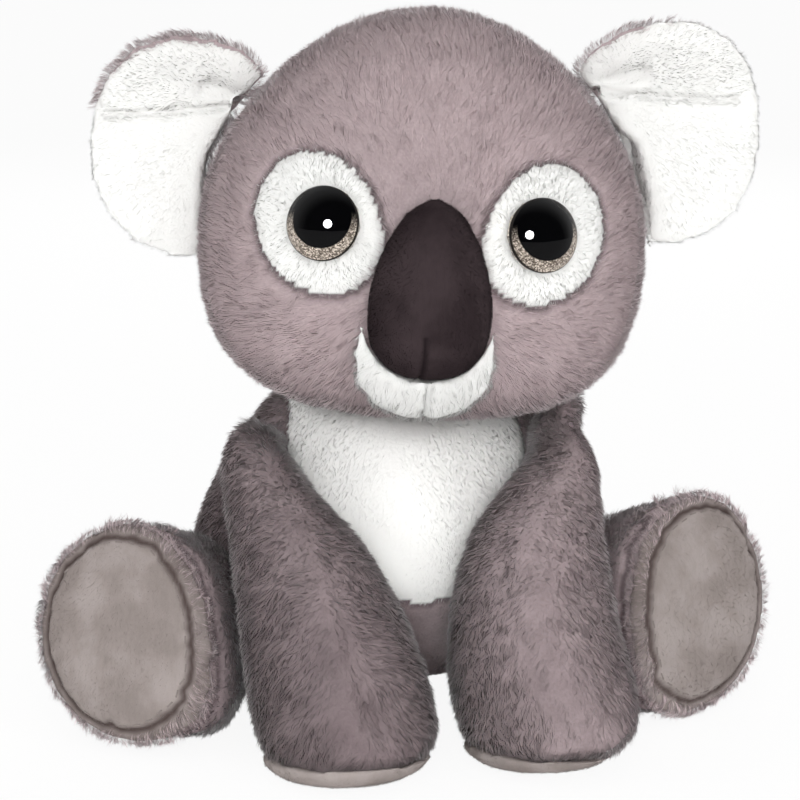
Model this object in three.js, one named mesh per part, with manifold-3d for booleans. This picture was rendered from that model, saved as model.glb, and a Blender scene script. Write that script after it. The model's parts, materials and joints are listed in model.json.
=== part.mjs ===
// A plush koala that sits on its seat, with its front paws on the ground between its feet.
// Millimetres. +Z is up, the face looks along -Y, and the seat touches the ground at the origin.
// Left and right are the koala's own, so its left side is on +X.

import * as THREE from 'three';
import { mergeVertices } from 'three/addons/utils/BufferGeometryUtils.js';
import Module from 'manifold-3d';

const wasm = await Module();
wasm.setup();

// Fabric, seams and the ground
const plushThickness = 5;
const velourThickness = 2.6;
const seamGap = 0.3;
const fillingGap = 0.9;
const pressedDepth = 0.5;
const overrun = 60;
const formBlendShare = 0.5;
const groundSize = 900;

// Torso
const torsoX = 2;
const torsoY = 8;
const torsoZ = 51.5;
const torsoHalfWidth = 90;
const torsoFront = 72;
const torsoBack = 70;
const torsoUp = 106;
const torsoShoulderFullness = 1.62;
const torsoSeatFullness = 2.2;

// White panel of the belly
const bellyTopHalfWidth = 43;
const bellyChestHalfWidth = 50;
const bellyLowHalfWidth = 22;
const bellyTopZ = 150;
const bellyChestZ = 106;
const bellyLowZ = 56;
const bellyLowDip = 9;

// Velour panel of the seat, whose seam slopes down from the front to the back
const seatPanelFrontZ = 60;
const seatPanelBackZ = 4;

// Pouch of beads that weighs the seat down
const pouchHalfWidth = 46;
const pouchHalfDepth = 40;
const pouchHalfHeight = 14;
const pouchZ = 17;
const pouchFullness = 2.4;

// Head
const headX = 8;
const headY = -20;
const headZ = 195;
const headHalfWidth = 91.5;
const headFront = 78;
const headBack = 74;
const headUp = 94;
const headDown = 71;
const headCrownFullness = 1.84;
const headCheekFullness = 2.9;
const headBlendShare = 0.6;
const headTurn = THREE.MathUtils.degToRad(-6.6);
const headTilt = THREE.MathUtils.degToRad(3.6);
const neckX = 3;
const neckY = 0;
const neckZ = 118;
const neckHoleRadius = 30;
const neckHoleDepth = 20;
const neckSwing = 15;

// Eyes, each a clear dome on a disc with a ribbed post, held by a washer inside the head
const eyeRadius = 14.3;
const eyeHeight = 8.5;
const eyeDiscThickness = 1.6;
const eyeSink = 2;
const eyeRimHeight = 1.2;
const eyeAcross = THREE.MathUtils.degToRad(30.7);
const eyeRise = THREE.MathUtils.degToRad(10.2);
const probeAngle = THREE.MathUtils.degToRad(0.5);
const postRadius = 2.6;
const postRibRadius = 3.1;
const postRibPitch = 2.4;
const postRibs = 4;
const postLength = 14;
const washerRadius = 9;
const washerThickness = 2;
const washerHubRadius = 5;
const washerHubHeight = 2;
const washerDepth = 7.2;

// White patches round the eyes
const patchHalfWidth = 23.5;
const patchHalfHeight = 25.5;
const patchOutward = 3;
const patchDrop = 0.5;
const patchLobe = 4.5;
const patchLobeTurn = THREE.MathUtils.degToRad(-142);
const patchLobeFullness = 3;

// Nose
const noseY = -78;
const noseZ = -13;
const noseHalfWidth = 24.5;
const noseUp = 43;
const noseDown = 28;
const noseFront = 27;
const noseBack = 20;
const noseBridgeFullness = 1.7;
const noseTipFullness = 2.5;

// White pad under the nose
const muzzleRise = THREE.MathUtils.degToRad(-25);
const muzzleHalfWidth = 33.5;
const muzzleHalfHeight = 32;
const muzzleHalfDepth = 16;
const muzzleSink = 8;
const muzzleFullness = 2;

// Ears, each a cupped disc with a fold across it
const earX = 97;
const earY = 14;
const earZ = 39.5;
const earOutward = 41;
const earInward = 45;
const earUp = 46;
const earDown = 47;
const earFullness = 2.15;
const earUnevenness = 8.5;
const earThickness = 15;
const earRimThickness = 4;
const earWadding = 5;
const earWaddingRim = 0.6;
const earWaddingMargin = 6;
const earFoldRise = 14;
const earFoldSoftness = 9;
const earFlapForward = 21;
const earBowlForward = 20;
const earRimCurl = 5;
const earHingeX = 75;
const earHingeY = 6;
const earHingeZ = 32;
const earHingeLean = THREE.MathUtils.degToRad(-23);
const earSwing = 12;

// Arms. Each swells from a narrow shoulder through the elbow to a broad paw.
const shoulderX = 73.5;
const shoulderY = -4;
const shoulderZ = 122;
const elbowX = 32;
const elbowY = -102;
const elbowZ = 60;
const elbowShift = -8;
const pawX = 40;
const pawY = -102;
const shoulderHalfWidth = 8;
const shoulderHalfDepth = 17;
const upperArmHalfWidth = 15;
const forearmHalfWidth = 44;
const elbowHalfDepth = 32;
const pawHalfWidth = 34.5;
const pawHalfDepth = 38;
const shoulderEdge = 20;
const pawEdge = 8;
const pawShift = 5;
const pawPadBackZ = 1.5;
const pawPadFrontZ = 14.5;
const armHingeX = 58;
const armHingeY = -24;
const armHingeZ = 112;
const armSwing = 18;

// Legs. Each narrows from the hip to the ankle and flares to the foot.
const hipX = 44;
const hipY = 8;
const hipZ = 40;
const ankleX = 96;
const ankleY = -12;
const ankleZ = 40;
const footX = 120.5;
const footY = -68;
const footShift = -2.5;
const hipHalfWidth = 40;
const hipHalfHeight = 38;
const ankleHalfWidth = 30;
const ankleHalfHeight = 25;
const footHalfWidth = 50;
const footHalfHeight = 53.5;
const hipEdge = 34;
const footEdge = 16;
const solePadHalfWidth = 37;
const solePadHalfHeight = 42.5;
const legHingeX = 68;
const legHingeY = -16;
const legSwingIn = 5;
const legSwingOut = 10;

// Number of facets round and along the stuffed forms
const bodyFacets = { rows: 14, columns: 24 };
const bodyCoreFacets = { rows: 9, columns: 14 };
const limbFacets = { rows: 12, columns: 16 };
const limbCoreFacets = { rows: 9, columns: 12 };
const limbCapRows = 3;
const smallFacets = { rows: 10, columns: 14 };
const earSpokes = 18;
const earRings = 3;
const roundFacets = 20;
const ringFacets = 12;
const domeSteps = 4;
const curveFacets = 9;

const sides = [
  { name: 'left', sign: 1 },
  { name: 'right', sign: -1 },
];

const fabric = (color) => new THREE.MeshStandardMaterial({ color, roughness: 0.95, metalness: 0 });
const greyPlush = fabric(0x988688);
const whitePlush = fabric(0xf6f6f2);
const soleVelour = fabric(0x958c86);
const noseVelour = fabric(0x3d3337);
const wadding = fabric(0xe9e7e1);
const beadCloth = fabric(0xd8d2c4);
const clearPlastic = new THREE.MeshStandardMaterial({ color: 0x0b0b0d, roughness: 0.04, metalness: 0 });
const glitterPlastic = new THREE.MeshStandardMaterial({ color: 0xa89a8c, roughness: 0.3, metalness: 0.6 });
const washerPlastic = new THREE.MeshStandardMaterial({ color: 0xe4e4e0, roughness: 0.5, metalness: 0 });

// Closed surface between two poles. pointAt gives its place by the share along and the share round.
function closedForm(pointAt, { rows, columns }) {
  const positions = [...pointAt(0, 0).toArray()];
  for (let row = 1; row < rows; row += 1) {
    for (let column = 0; column < columns; column += 1) {
      positions.push(...pointAt(row / rows, column / columns).toArray());
    }
  }
  positions.push(...pointAt(1, 0).toArray());
  const place = (row, column) => 1 + (row - 1) * columns + (column % columns);
  const last = 1 + (rows - 1) * columns;
  const faces = [];
  for (let column = 0; column < columns; column += 1) {
    faces.push(0, place(1, column + 1), place(1, column));
    faces.push(last, place(rows - 1, column), place(rows - 1, column + 1));
    for (let row = 1; row < rows - 1; row += 1) {
      const near = place(row, column);
      const next = place(row, column + 1);
      const farNext = place(row + 1, column + 1);
      const far = place(row + 1, column);
      faces.push(near, next, farNext, near, farNext, far);
    }
  }
  const form = new THREE.BufferGeometry();
  form.setAttribute('position', new THREE.Float32BufferAttribute(positions, 3));
  form.setIndex(faces);
  return form;
}

// The same form with its surface moved out by a distance, or in by a negative one.
function offsetForm(form, distance) {
  const moved = form.clone();
  moved.computeVertexNormals();
  const { position, normal } = moved.attributes;
  const point = new THREE.Vector3();
  const way = new THREE.Vector3();
  for (let index = 0; index < position.count; index += 1) {
    point.fromBufferAttribute(position, index);
    way.fromBufferAttribute(normal, index);
    point.addScaledVector(way, distance);
    position.setXYZ(index, point.x, point.y, point.z);
  }
  return moved;
}

function solidOf(form) {
  return new wasm.Manifold(new wasm.Mesh({
    numProp: 3,
    vertProperties: new Float32Array(form.attributes.position.array),
    triVerts: new Uint32Array(form.index.array),
  }));
}

// Solid of one of the ready-made geometries, whose faces first have to share their corners.
function solidOfGeometry(geometry) {
  geometry.deleteAttribute('normal');
  geometry.deleteAttribute('uv');
  return solidOf(mergeVertices(geometry));
}

function geometryOf(solid) {
  const mesh = solid.getMesh();
  const corners = new THREE.BufferGeometry();
  corners.setAttribute('position', new THREE.Float32BufferAttribute(mesh.vertProperties, 3));
  corners.setIndex([...mesh.triVerts]);
  const geometry = corners.toNonIndexed();
  geometry.computeVertexNormals();
  return geometry;
}

function largestPiece(solid) {
  const pieces = solid.decompose();
  pieces.sort((one, other) => other.volume() - one.volume());
  return pieces[0];
}

function moved(solid, matrix) {
  return solid.transform(matrix.elements);
}

function turnedAbout(point, axis, degrees) {
  const turn = new THREE.Matrix4().makeRotationAxis(axis, THREE.MathUtils.degToRad(degrees));
  const back = new THREE.Matrix4().makeTranslation(point.x, point.y, point.z);
  const away = new THREE.Matrix4().makeTranslation(-point.x, -point.y, -point.z);
  return back.multiply(turn).multiply(away);
}

// All the places that a neighbour takes, seen from a piece that swings on its hinge.
function sweptPast(neighbour, hinge) {
  const places = [neighbour];
  for (let stop = 0; stop <= hinge.stops; stop += 1) {
    const degrees = THREE.MathUtils.lerp(hinge.from, hinge.to, stop / hinge.stops);
    places.push(moved(neighbour, turnedAbout(hinge.point, hinge.axis, -degrees)));
  }
  return wasm.Manifold.union(places);
}

// Radius of a stuffed form in a direction. Each side has its own reach from the centre, and the
// fullness, from its upper to its lower value, says how far the form swells past a plain ellipsoid.
function reachAlong(way, size) {
  const side = size.side;
  const depth = way.y < 0 ? size.front : size.back;
  const height = way.z > 0 ? size.up : size.down;
  const upShare = THREE.MathUtils.smoothstep(way.z, -size.blendShare, size.blendShare);
  const fullness = THREE.MathUtils.lerp(size.lowFullness, size.highFullness, upShare);
  const sum = Math.abs(way.x / side) ** fullness
    + Math.abs(way.y / depth) ** fullness
    + Math.abs(way.z / height) ** fullness;
  return sum ** (-1 / fullness);
}

function wayAt(along, round) {
  const polar = Math.PI * along;
  const turn = 2 * Math.PI * round;
  return new THREE.Vector3(
    Math.sin(polar) * Math.cos(turn),
    Math.sin(polar) * Math.sin(turn),
    -Math.cos(polar),
  );
}

function stuffedForm(size, matrix, facets) {
  const form = closedForm((along, round) => {
    const way = wayAt(along, round);
    return way.clone().multiplyScalar(reachAlong(way, size));
  }, facets);
  return form.applyMatrix4(matrix);
}

// Value that leaves the first size, is drawn towards those between and arrives at the last
function drawn(sizes, share) {
  let row = sizes;
  while (row.length > 1) {
    row = row.slice(1).map((size, place) => THREE.MathUtils.lerp(row[place], size, share));
  }
  return row[0];
}

// Share of a limb's length at one of its rows. The first and last rows go round the limb's edges.
function reachAtRow(limb, length, row, rows) {
  const rootShare = limb.rootEdge / length;
  const endShare = limb.endEdge / length;
  const rounded = (count) => 1 - Math.cos(Math.PI / 2 * count / limbCapRows);
  if (row < limbCapRows) {
    return rootShare * rounded(row);
  }
  if (rows - row < limbCapRows) {
    return 1 - endShare * rounded(rows - row);
  }
  return THREE.MathUtils.mapLinear(row, limbCapRows, rows - limbCapRows, rootShare, 1 - endShare);
}

// Limb along a bent line from its root to its end, with an oval section that swells and tapers
function limbForm(limb, facets) {
  const line = new THREE.QuadraticBezierCurve3(limb.root, limb.bend, limb.end);
  const length = line.getLength();
  return closedForm((along, round) => {
    const reach = reachAtRow(limb, length, Math.round(along * facets.rows), facets.rows);
    const centre = line.getPointAt(reach);
    const tangent = line.getTangentAt(reach);
    const across = new THREE.Vector3().crossVectors(limb.up, tangent).normalize();
    const upward = new THREE.Vector3().crossVectors(tangent, across);
    const fromRoot = Math.min(1, reach * length / limb.rootEdge);
    const fromEnd = Math.min(1, (1 - reach) * length / limb.endEdge);
    const rounding = Math.sqrt(fromRoot * (2 - fromRoot)) * Math.sqrt(fromEnd * (2 - fromEnd));
    const turn = 2 * Math.PI * round;
    return centre
      .addScaledVector(across, drawn(limb.wide, reach) * rounding * Math.cos(turn))
      .addScaledVector(upward, drawn(limb.high, reach) * rounding * Math.sin(turn));
  }, facets);
}

// Everything above the ground
function aboveGround(solid) {
  const block = new THREE.BoxGeometry(groundSize, groundSize, groundSize);
  block.translate(0, 0, groundSize / 2);
  return solid.intersect(solidOfGeometry(block));
}

const torsoMatrix = new THREE.Matrix4().makeTranslation(torsoX, torsoY, torsoZ);
const headMatrix = new THREE.Matrix4()
  .makeTranslation(headX, headY, headZ)
  .multiply(new THREE.Matrix4().makeRotationZ(headTurn))
  .multiply(new THREE.Matrix4().makeRotationY(headTilt));

const torsoSize = {
  side: torsoHalfWidth,
  front: torsoFront,
  back: torsoBack,
  up: torsoUp,
  down: torsoZ + pressedDepth,
  highFullness: torsoShoulderFullness,
  lowFullness: torsoSeatFullness,
  blendShare: formBlendShare,
};

const headSize = {
  side: headHalfWidth,
  front: headFront,
  back: headBack,
  up: headUp,
  down: headDown,
  highFullness: headCrownFullness,
  lowFullness: headCheekFullness,
  blendShare: headBlendShare,
};

const noseSize = {
  side: noseHalfWidth,
  front: noseFront,
  back: noseBack,
  up: noseUp,
  down: noseDown,
  highFullness: noseBridgeFullness,
  lowFullness: noseTipFullness,
  blendShare: formBlendShare,
};

const muzzleSize = {
  side: muzzleHalfWidth,
  front: muzzleHalfHeight,
  back: muzzleHalfHeight,
  up: muzzleHalfDepth,
  down: muzzleHalfDepth,
  highFullness: muzzleFullness,
  lowFullness: muzzleFullness,
  blendShare: formBlendShare,
};

const pouchSize = {
  side: pouchHalfWidth,
  front: pouchHalfDepth,
  back: pouchHalfDepth,
  up: pouchHalfHeight,
  down: pouchHalfHeight,
  highFullness: pouchFullness,
  lowFullness: pouchFullness,
  blendShare: formBlendShare,
};

const up = new THREE.Vector3(0, 0, 1);
const neckHinge = {
  point: new THREE.Vector3(neckX, neckY, neckZ),
  axis: up,
  from: -neckSwing,
  to: neckSwing,
  stops: 4,
};

function armHinge(sign) {
  return {
    point: new THREE.Vector3(torsoX + sign * armHingeX, armHingeY, armHingeZ),
    axis: new THREE.Vector3(-1, 0, 0),
    from: 0,
    to: armSwing,
    stops: 2,
  };
}

function legHinge(sign) {
  return {
    point: new THREE.Vector3(torsoX + sign * legHingeX, legHingeY, hipZ),
    axis: new THREE.Vector3(0, 0, sign),
    from: -legSwingIn,
    to: legSwingOut,
    stops: 2,
  };
}

function earHinge(sign) {
  const point = new THREE.Vector3(sign * earHingeX, earHingeY, earHingeZ).applyMatrix4(headMatrix);
  const axis = new THREE.Vector3(sign * Math.sin(earHingeLean), 0, Math.cos(earHingeLean));
  return {
    point,
    axis: axis.transformDirection(headMatrix).multiplyScalar(sign),
    from: -earSwing,
    to: earSwing,
    stops: 2,
  };
}

// The same limb, raised or lowered until it is pressed on the ground
function settled(limb) {
  const form = limbForm(limb, limbFacets);
  form.computeBoundingBox();
  const lift = -pressedDepth - form.boundingBox.min.z;
  for (const point of [limb.root, limb.bend, limb.end]) {
    point.z += lift;
  }
  return limb;
}

function armShape(sign) {
  return settled({
    root: new THREE.Vector3(torsoX + sign * shoulderX, shoulderY, shoulderZ),
    bend: new THREE.Vector3(torsoX + sign * elbowX + elbowShift, elbowY, elbowZ),
    end: new THREE.Vector3(torsoX + sign * pawX + pawShift, pawY, -pressedDepth),
    up: new THREE.Vector3(0, -1, 0),
    wide: [shoulderHalfWidth, upperArmHalfWidth, forearmHalfWidth, pawHalfWidth],
    high: [shoulderHalfDepth, elbowHalfDepth, pawHalfDepth],
    rootEdge: shoulderEdge,
    endEdge: pawEdge,
  });
}

function legShape(sign) {
  return settled({
    root: new THREE.Vector3(torsoX + sign * hipX, hipY, hipZ),
    bend: new THREE.Vector3(torsoX + sign * ankleX + footShift, ankleY, ankleZ),
    end: new THREE.Vector3(torsoX + sign * footX + footShift, footY, footHalfHeight),
    up,
    wide: [hipHalfWidth, ankleHalfWidth, footHalfWidth],
    high: [hipHalfHeight, ankleHalfHeight, footHalfHeight],
    rootEdge: hipEdge,
    endEdge: footEdge,
  });
}

// The same limb, smaller by a distance all round
function insetLimb(limb, distance) {
  const line = new THREE.QuadraticBezierCurve3(limb.root, limb.bend, limb.end);
  return {
    ...limb,
    root: limb.root.clone().addScaledVector(line.getTangent(0), distance),
    end: limb.end.clone().addScaledVector(line.getTangent(1), -distance),
    wide: limb.wide.map((size) => size - distance),
    high: limb.high.map((size) => size - distance),
    rootEdge: limb.rootEdge - distance,
    endEdge: limb.endEdge - distance,
  };
}

// Solids that one stuffed form gives: its outside, its outside with a seam's gap added, the inside
// of its fabric, and the filling that fits in there. The form is made smaller by a distance.
function fabricSolids(makeForm, outerFacets, innerFacets, thickness) {
  return {
    outer: solidOf(makeForm(0, outerFacets)),
    grown: solidOf(makeForm(-seamGap, outerFacets)),
    inner: solidOf(makeForm(thickness, innerFacets)),
    core: solidOf(makeForm(thickness + fillingGap, innerFacets)),
  };
}

// Straight bar with the outline of a shape, centred on the shape's plane. It runs along +Z.
function bar(shape, length) {
  const settings = { depth: length, bevelEnabled: false, curveSegments: curveFacets };
  const geometry = new THREE.ExtrudeGeometry(shape, settings);
  geometry.translate(0, 0, -length / 2);
  return geometry;
}

// Oval outline with one lobe, drawn in towards the nose
function patchOutline(sign, margin) {
  const shape = new THREE.Shape();
  const points = [];
  for (let facet = 0; facet < roundFacets; facet += 1) {
    const turn = 2 * Math.PI * facet / roundFacets;
    const lobe = patchLobe * Math.max(0, Math.cos(turn - patchLobeTurn)) ** patchLobeFullness;
    const wide = patchHalfWidth + margin + lobe;
    const high = patchHalfHeight + margin + lobe;
    points.push(new THREE.Vector2(sign * wide * Math.cos(turn), high * Math.sin(turn)));
  }
  shape.setFromPoints(sign > 0 ? points : points.reverse());
  return shape;
}

// Outline of the belly panel, wide at the chest and narrow and round at its low end
function bellyOutline(margin) {
  const top = bellyTopHalfWidth + margin;
  const chest = bellyChestHalfWidth + margin;
  const narrow = bellyLowHalfWidth + margin;
  const low = bellyLowZ - margin;
  const shape = new THREE.Shape();
  shape.moveTo(-top, bellyTopZ);
  shape.lineTo(-chest, bellyChestZ);
  shape.quadraticCurveTo(-chest, (bellyChestZ + low) / 2, -narrow, low);
  shape.quadraticCurveTo(0, low - bellyLowDip, narrow, low);
  shape.quadraticCurveTo(chest, (bellyChestZ + low) / 2, chest, bellyChestZ);
  shape.lineTo(top, bellyTopZ);
  shape.closePath();
  return shape;
}

// Bar that covers the belly outline in front of the torso's middle
function bellyBlock(margin) {
  const geometry = bar(bellyOutline(margin), torsoFront + overrun);
  geometry.rotateX(Math.PI / 2);
  geometry.translate(torsoX, torsoY - (torsoFront + overrun) / 2, 0);
  return solidOfGeometry(geometry);
}

function headPoint(across, rise) {
  const way = new THREE.Vector3(
    Math.sin(across) * Math.cos(rise),
    -Math.cos(across) * Math.cos(rise),
    Math.sin(rise),
  );
  return way.multiplyScalar(reachAlong(way, headSize));
}

// Place on the face: its origin is on the head's surface and its +Z points straight out of it.
function faceMatrix(turn, rise) {
  const point = headPoint(turn, rise);
  const beside = headPoint(turn + probeAngle, rise).sub(point);
  const above = headPoint(turn, rise + probeAngle).sub(point);
  const out = new THREE.Vector3().crossVectors(beside, above).normalize();
  const across = new THREE.Vector3().crossVectors(up, out).normalize();
  const upward = new THREE.Vector3().crossVectors(out, across);
  const matrix = new THREE.Matrix4().makeBasis(across, upward, out).setPosition(point);
  return new THREE.Matrix4().multiplyMatrices(headMatrix, matrix);
}

// Turned solid, from a profile of radius and height that starts and ends on its axis
function turnedSolid(profile, facets, matrix) {
  const points = profile.map(([radius, height]) => new THREE.Vector2(radius, height));
  const geometry = new THREE.LatheGeometry(points, facets);
  geometry.rotateX(Math.PI / 2);
  geometry.applyMatrix4(matrix);
  return solidOfGeometry(geometry);
}

function plug(radius, low, high, facets, matrix) {
  return turnedSolid([[0, low], [radius, low], [radius, high], [0, high]], facets, matrix);
}

function eyeSolids(sign) {
  const matrix = faceMatrix(sign * eyeAcross, eyeRise);
  const discTop = -eyeSink + eyeDiscThickness;
  const domeBase = discTop + seamGap;
  const dome = [[0, domeBase]];
  for (let step = 0; step <= domeSteps; step += 1) {
    const turn = Math.PI / 2 * step / domeSteps;
    const height = domeBase + eyeRimHeight + (eyeHeight - domeBase - eyeRimHeight) * Math.sin(turn);
    dome.push([step === domeSteps ? 0 : eyeRadius * Math.cos(turn), height]);
  }
  dome.splice(1, 0, [eyeRadius, domeBase]);
  const back = [[0, discTop], [eyeRadius, discTop], [eyeRadius, -eyeSink], [postRadius, -eyeSink]];
  for (let rib = 0; rib < postRibs; rib += 1) {
    const height = -eyeSink - postLength + (postRibs - rib) * postRibPitch;
    back.push([postRadius, height]);
    back.push([postRibRadius, height - postRibPitch / 2]);
  }
  back.push([postRadius, -eyeSink - postLength], [0, -eyeSink - postLength]);
  const bore = postRibRadius + seamGap;
  const washer = [
    [bore, -washerDepth],
    [washerRadius, -washerDepth],
    [washerRadius, -washerDepth - washerThickness],
    [washerHubRadius, -washerDepth - washerThickness],
    [washerHubRadius, -washerDepth - washerThickness - washerHubHeight],
    [bore, -washerDepth - washerThickness - washerHubHeight],
    [bore, -washerDepth],
  ];
  const washerBottom = -washerDepth - washerThickness - washerHubHeight - seamGap;
  const postBottom = -eyeSink - postLength - seamGap;
  return {
    dome: turnedSolid(dome, roundFacets, matrix),
    back: turnedSolid(back.reverse(), ringFacets, matrix),
    washer: turnedSolid(washer.reverse(), ringFacets, matrix),
    seat: plug(eyeRadius + seamGap, -eyeSink - seamGap, overrun, roundFacets, matrix)
      .add(plug(bore, postBottom, overrun, ringFacets, matrix)),
    press: plug(washerRadius + seamGap, washerBottom, seamGap - washerDepth, ringFacets, matrix),
    pocket: plug(washerRadius + seamGap, washerBottom, overrun, ringFacets, matrix)
      .add(plug(bore, postBottom, overrun, ringFacets, matrix)),
  };
}

// Bar that covers one eye patch's outline in front of the head's middle
function patchBlock(sign, margin) {
  const geometry = bar(patchOutline(sign, margin), headFront + overrun);
  const eye = headPoint(sign * eyeAcross, eyeRise);
  geometry.rotateX(Math.PI / 2);
  geometry.translate(eye.x + sign * patchOutward, -(headFront + overrun) / 2, eye.z - patchDrop);
  return solidOfGeometry(geometry.applyMatrix4(headMatrix));
}

// Forward distance of an ear's middle surface. A soft fold runs across it, and the flap above the
// fold and the bowl below both come forward of it.
function earMiddle(across, rise) {
  const above = rise - earFoldRise;
  const reach = above > 0 ? earUp - earFoldRise : earDown + earFoldRise;
  const forward = above > 0 ? earFlapForward : earBowlForward;
  const soft = Math.hypot(above, earFoldSoftness) - earFoldSoftness;
  const full = Math.hypot(reach, earFoldSoftness) - earFoldSoftness;
  const curl = earRimCurl * Math.max(0, across / earOutward) ** 2;
  return forward * soft / full + curl;
}

// One layer of an ear, between two distances in front of its middle surface. Both are functions of
// the share from the layer's middle to its rim, which lies a margin inside the ear's outline.
function earLayer(sign, backAt, frontAt, margin) {
  const facets = { rows: 2 * earRings + 1, columns: earSpokes };
  const form = closedForm((along, round) => {
    const row = Math.round(along * facets.rows);
    const ring = Math.min(row, facets.rows - row) / earRings;
    const offset = row <= earRings ? backAt(ring) : frontAt(ring);
    const turn = 2 * Math.PI * round;
    const wide = sign * Math.cos(turn) > 0 ? earOutward : earInward;
    const high = Math.sin(turn) > 0 ? earUp : earDown;
    const sum = Math.abs(Math.cos(turn) / wide) ** earFullness
      + Math.abs(Math.sin(turn) / high) ** earFullness;
    const reach = ring * (sum ** (-1 / earFullness) - margin);
    const across = reach * Math.cos(turn);
    const rise = reach * Math.sin(turn);
    const forward = earMiddle(sign * across, rise) + offset;
    return new THREE.Vector3(sign * earX + across, earY - forward, earZ + sign * earUnevenness + rise);
  }, facets);
  return solidOf(form.applyMatrix4(headMatrix));
}

function earPieces(sign, side, headGrown) {
  const hinge = earHinge(sign);
  const past = sweptPast(headGrown, hinge);
  const outside = (ring) => THREE.MathUtils.lerp(earThickness / 2, earRimThickness / 2, ring ** 3);
  const filling = (ring) => THREE.MathUtils.lerp(earWadding / 2, earWaddingRim, ring ** 4);
  const pocketed = (ring) => filling(ring) + seamGap;
  const middle = earLayer(sign, (ring) => -filling(ring), filling, earWaddingMargin);
  const pocket = earLayer(sign, (ring) => -pocketed(ring), pocketed, earWaddingMargin - seamGap);
  const whole = earLayer(sign, (ring) => -outside(ring), outside, 0).subtract(pocket);
  const ahead = (distance) => earLayer(sign, () => distance, () => overrun, -earRimThickness);
  const front = whole.intersect(ahead(seamGap / 2));
  const back = whole.subtract(ahead(-seamGap / 2));
  return {
    pivot: hinge.point,
    pieces: [
      [`ear_front_${side}`, largestPiece(front.subtract(past)), whitePlush],
      [`ear_back_${side}`, largestPiece(back.subtract(past)), greyPlush],
      [`ear_wadding_${side}`, largestPiece(middle.subtract(past)), wadding],
    ],
  };
}

// Half space under a seam that slopes from a front point to a back one
function underSeam(front, back, margin) {
  const block = new THREE.BoxGeometry(groundSize, groundSize, groundSize);
  block.translate(0, 0, -groundSize / 2 + margin);
  block.rotateX(-Math.atan2(front.z - back.z, back.y - front.y));
  block.translate(0, back.y, back.z);
  return solidOfGeometry(block);
}

function underSeatSeam(margin) {
  const front = new THREE.Vector3(0, torsoY - torsoFront, seatPanelFrontZ);
  const back = new THREE.Vector3(0, torsoY + torsoBack, seatPanelBackZ);
  return underSeam(front, back, margin);
}

function underPadSeam(margin) {
  const front = new THREE.Vector3(0, pawY - pawHalfDepth, pawPadFrontZ);
  const back = new THREE.Vector3(0, pawY + pawHalfDepth, pawPadBackZ);
  return underSeam(front, back, margin);
}

function torsoPieces(torso, headPast) {
  const shell = aboveGround(torso.outer).subtract(torso.inner).subtract(headPast);
  const rest = shell.subtract(bellyBlock(seamGap / 2));
  const pouchMatrix = new THREE.Matrix4().makeTranslation(torsoX, torsoY, pouchZ);
  const pouchForm = stuffedForm(pouchSize, pouchMatrix, smallFacets);
  const pouchGrown = solidOf(offsetForm(pouchForm, seamGap));
  return [
    ['body_cover', largestPiece(rest.subtract(underSeatSeam(seamGap / 2))), greyPlush],
    ['belly_panel', largestPiece(shell.intersect(bellyBlock(-seamGap / 2))), whitePlush],
    ['seat_panel', largestPiece(rest.intersect(underSeatSeam(-seamGap / 2))), soleVelour],
    ['body_stuffing', torso.core.subtract(headPast).subtract(pouchGrown), wadding],
    ['bean_pouch', solidOf(pouchForm).intersect(torso.core), beadCloth],
  ];
}

function headPieces(head) {
  const noseMatrix = headMatrix.clone().multiply(new THREE.Matrix4().makeTranslation(0, noseY, noseZ));
  const makeNose = (inset, facets) => offsetForm(stuffedForm(noseSize, noseMatrix, facets), -inset);
  const nose = fabricSolids(makeNose, smallFacets, smallFacets, velourThickness);
  const muzzleMatrix = faceMatrix(0, muzzleRise)
    .multiply(new THREE.Matrix4().makeTranslation(0, 0, -muzzleSink));
  const muzzle = solidOf(stuffedForm(muzzleSize, muzzleMatrix, smallFacets));
  const neckHole = new THREE.CylinderGeometry(neckHoleRadius, neckHoleRadius, 2 * overrun, roundFacets);
  neckHole.rotateX(Math.PI / 2);
  neckHole.translate(neckX, neckY, neckZ - overrun + neckHoleDepth);
  let shell = head.outer.subtract(head.inner).subtract(solidOfGeometry(neckHole));
  let stuffing = head.core;
  const pieces = [];
  for (const { name, sign } of sides) {
    const eye = eyeSolids(sign);
    const patch = largestPiece(shell.intersect(patchBlock(sign, -seamGap / 2)));
    shell = shell.subtract(patchBlock(sign, seamGap / 2));
    stuffing = stuffing.subtract(eye.pocket);
    pieces.push(
      [`eye_patch_${name}`, patch.subtract(eye.seat).subtract(eye.press), whitePlush],
      [`eye_dome_${name}`, eye.dome, clearPlastic],
      [`eye_disc_${name}`, eye.back, glitterPlastic],
      [`eye_washer_${name}`, eye.washer, washerPlastic],
    );
  }
  pieces.push(
    ['head_cover', shell, greyPlush],
    ['head_stuffing', stuffing, wadding],
    ['nose_cover', largestPiece(nose.outer.subtract(nose.inner).subtract(head.grown)), noseVelour],
    ['nose_stuffing', largestPiece(nose.core.subtract(head.grown)), wadding],
    ['muzzle_patch', largestPiece(muzzle.subtract(head.grown).subtract(nose.grown)), whitePlush],
  );
  return pieces;
}

function armPieces(sign, side, arm, past) {
  const shell = aboveGround(arm.outer).subtract(arm.inner).subtract(past);
  return {
    pivot: armHinge(sign).point,
    pieces: [
      [`arm_cover_${side}`, largestPiece(shell.subtract(underPadSeam(seamGap / 2))), greyPlush],
      [`paw_pad_${side}`, largestPiece(shell.intersect(underPadSeam(-seamGap / 2))), soleVelour],
      [`arm_stuffing_${side}`, largestPiece(arm.core.subtract(past)), wadding],
    ],
  };
}

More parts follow.
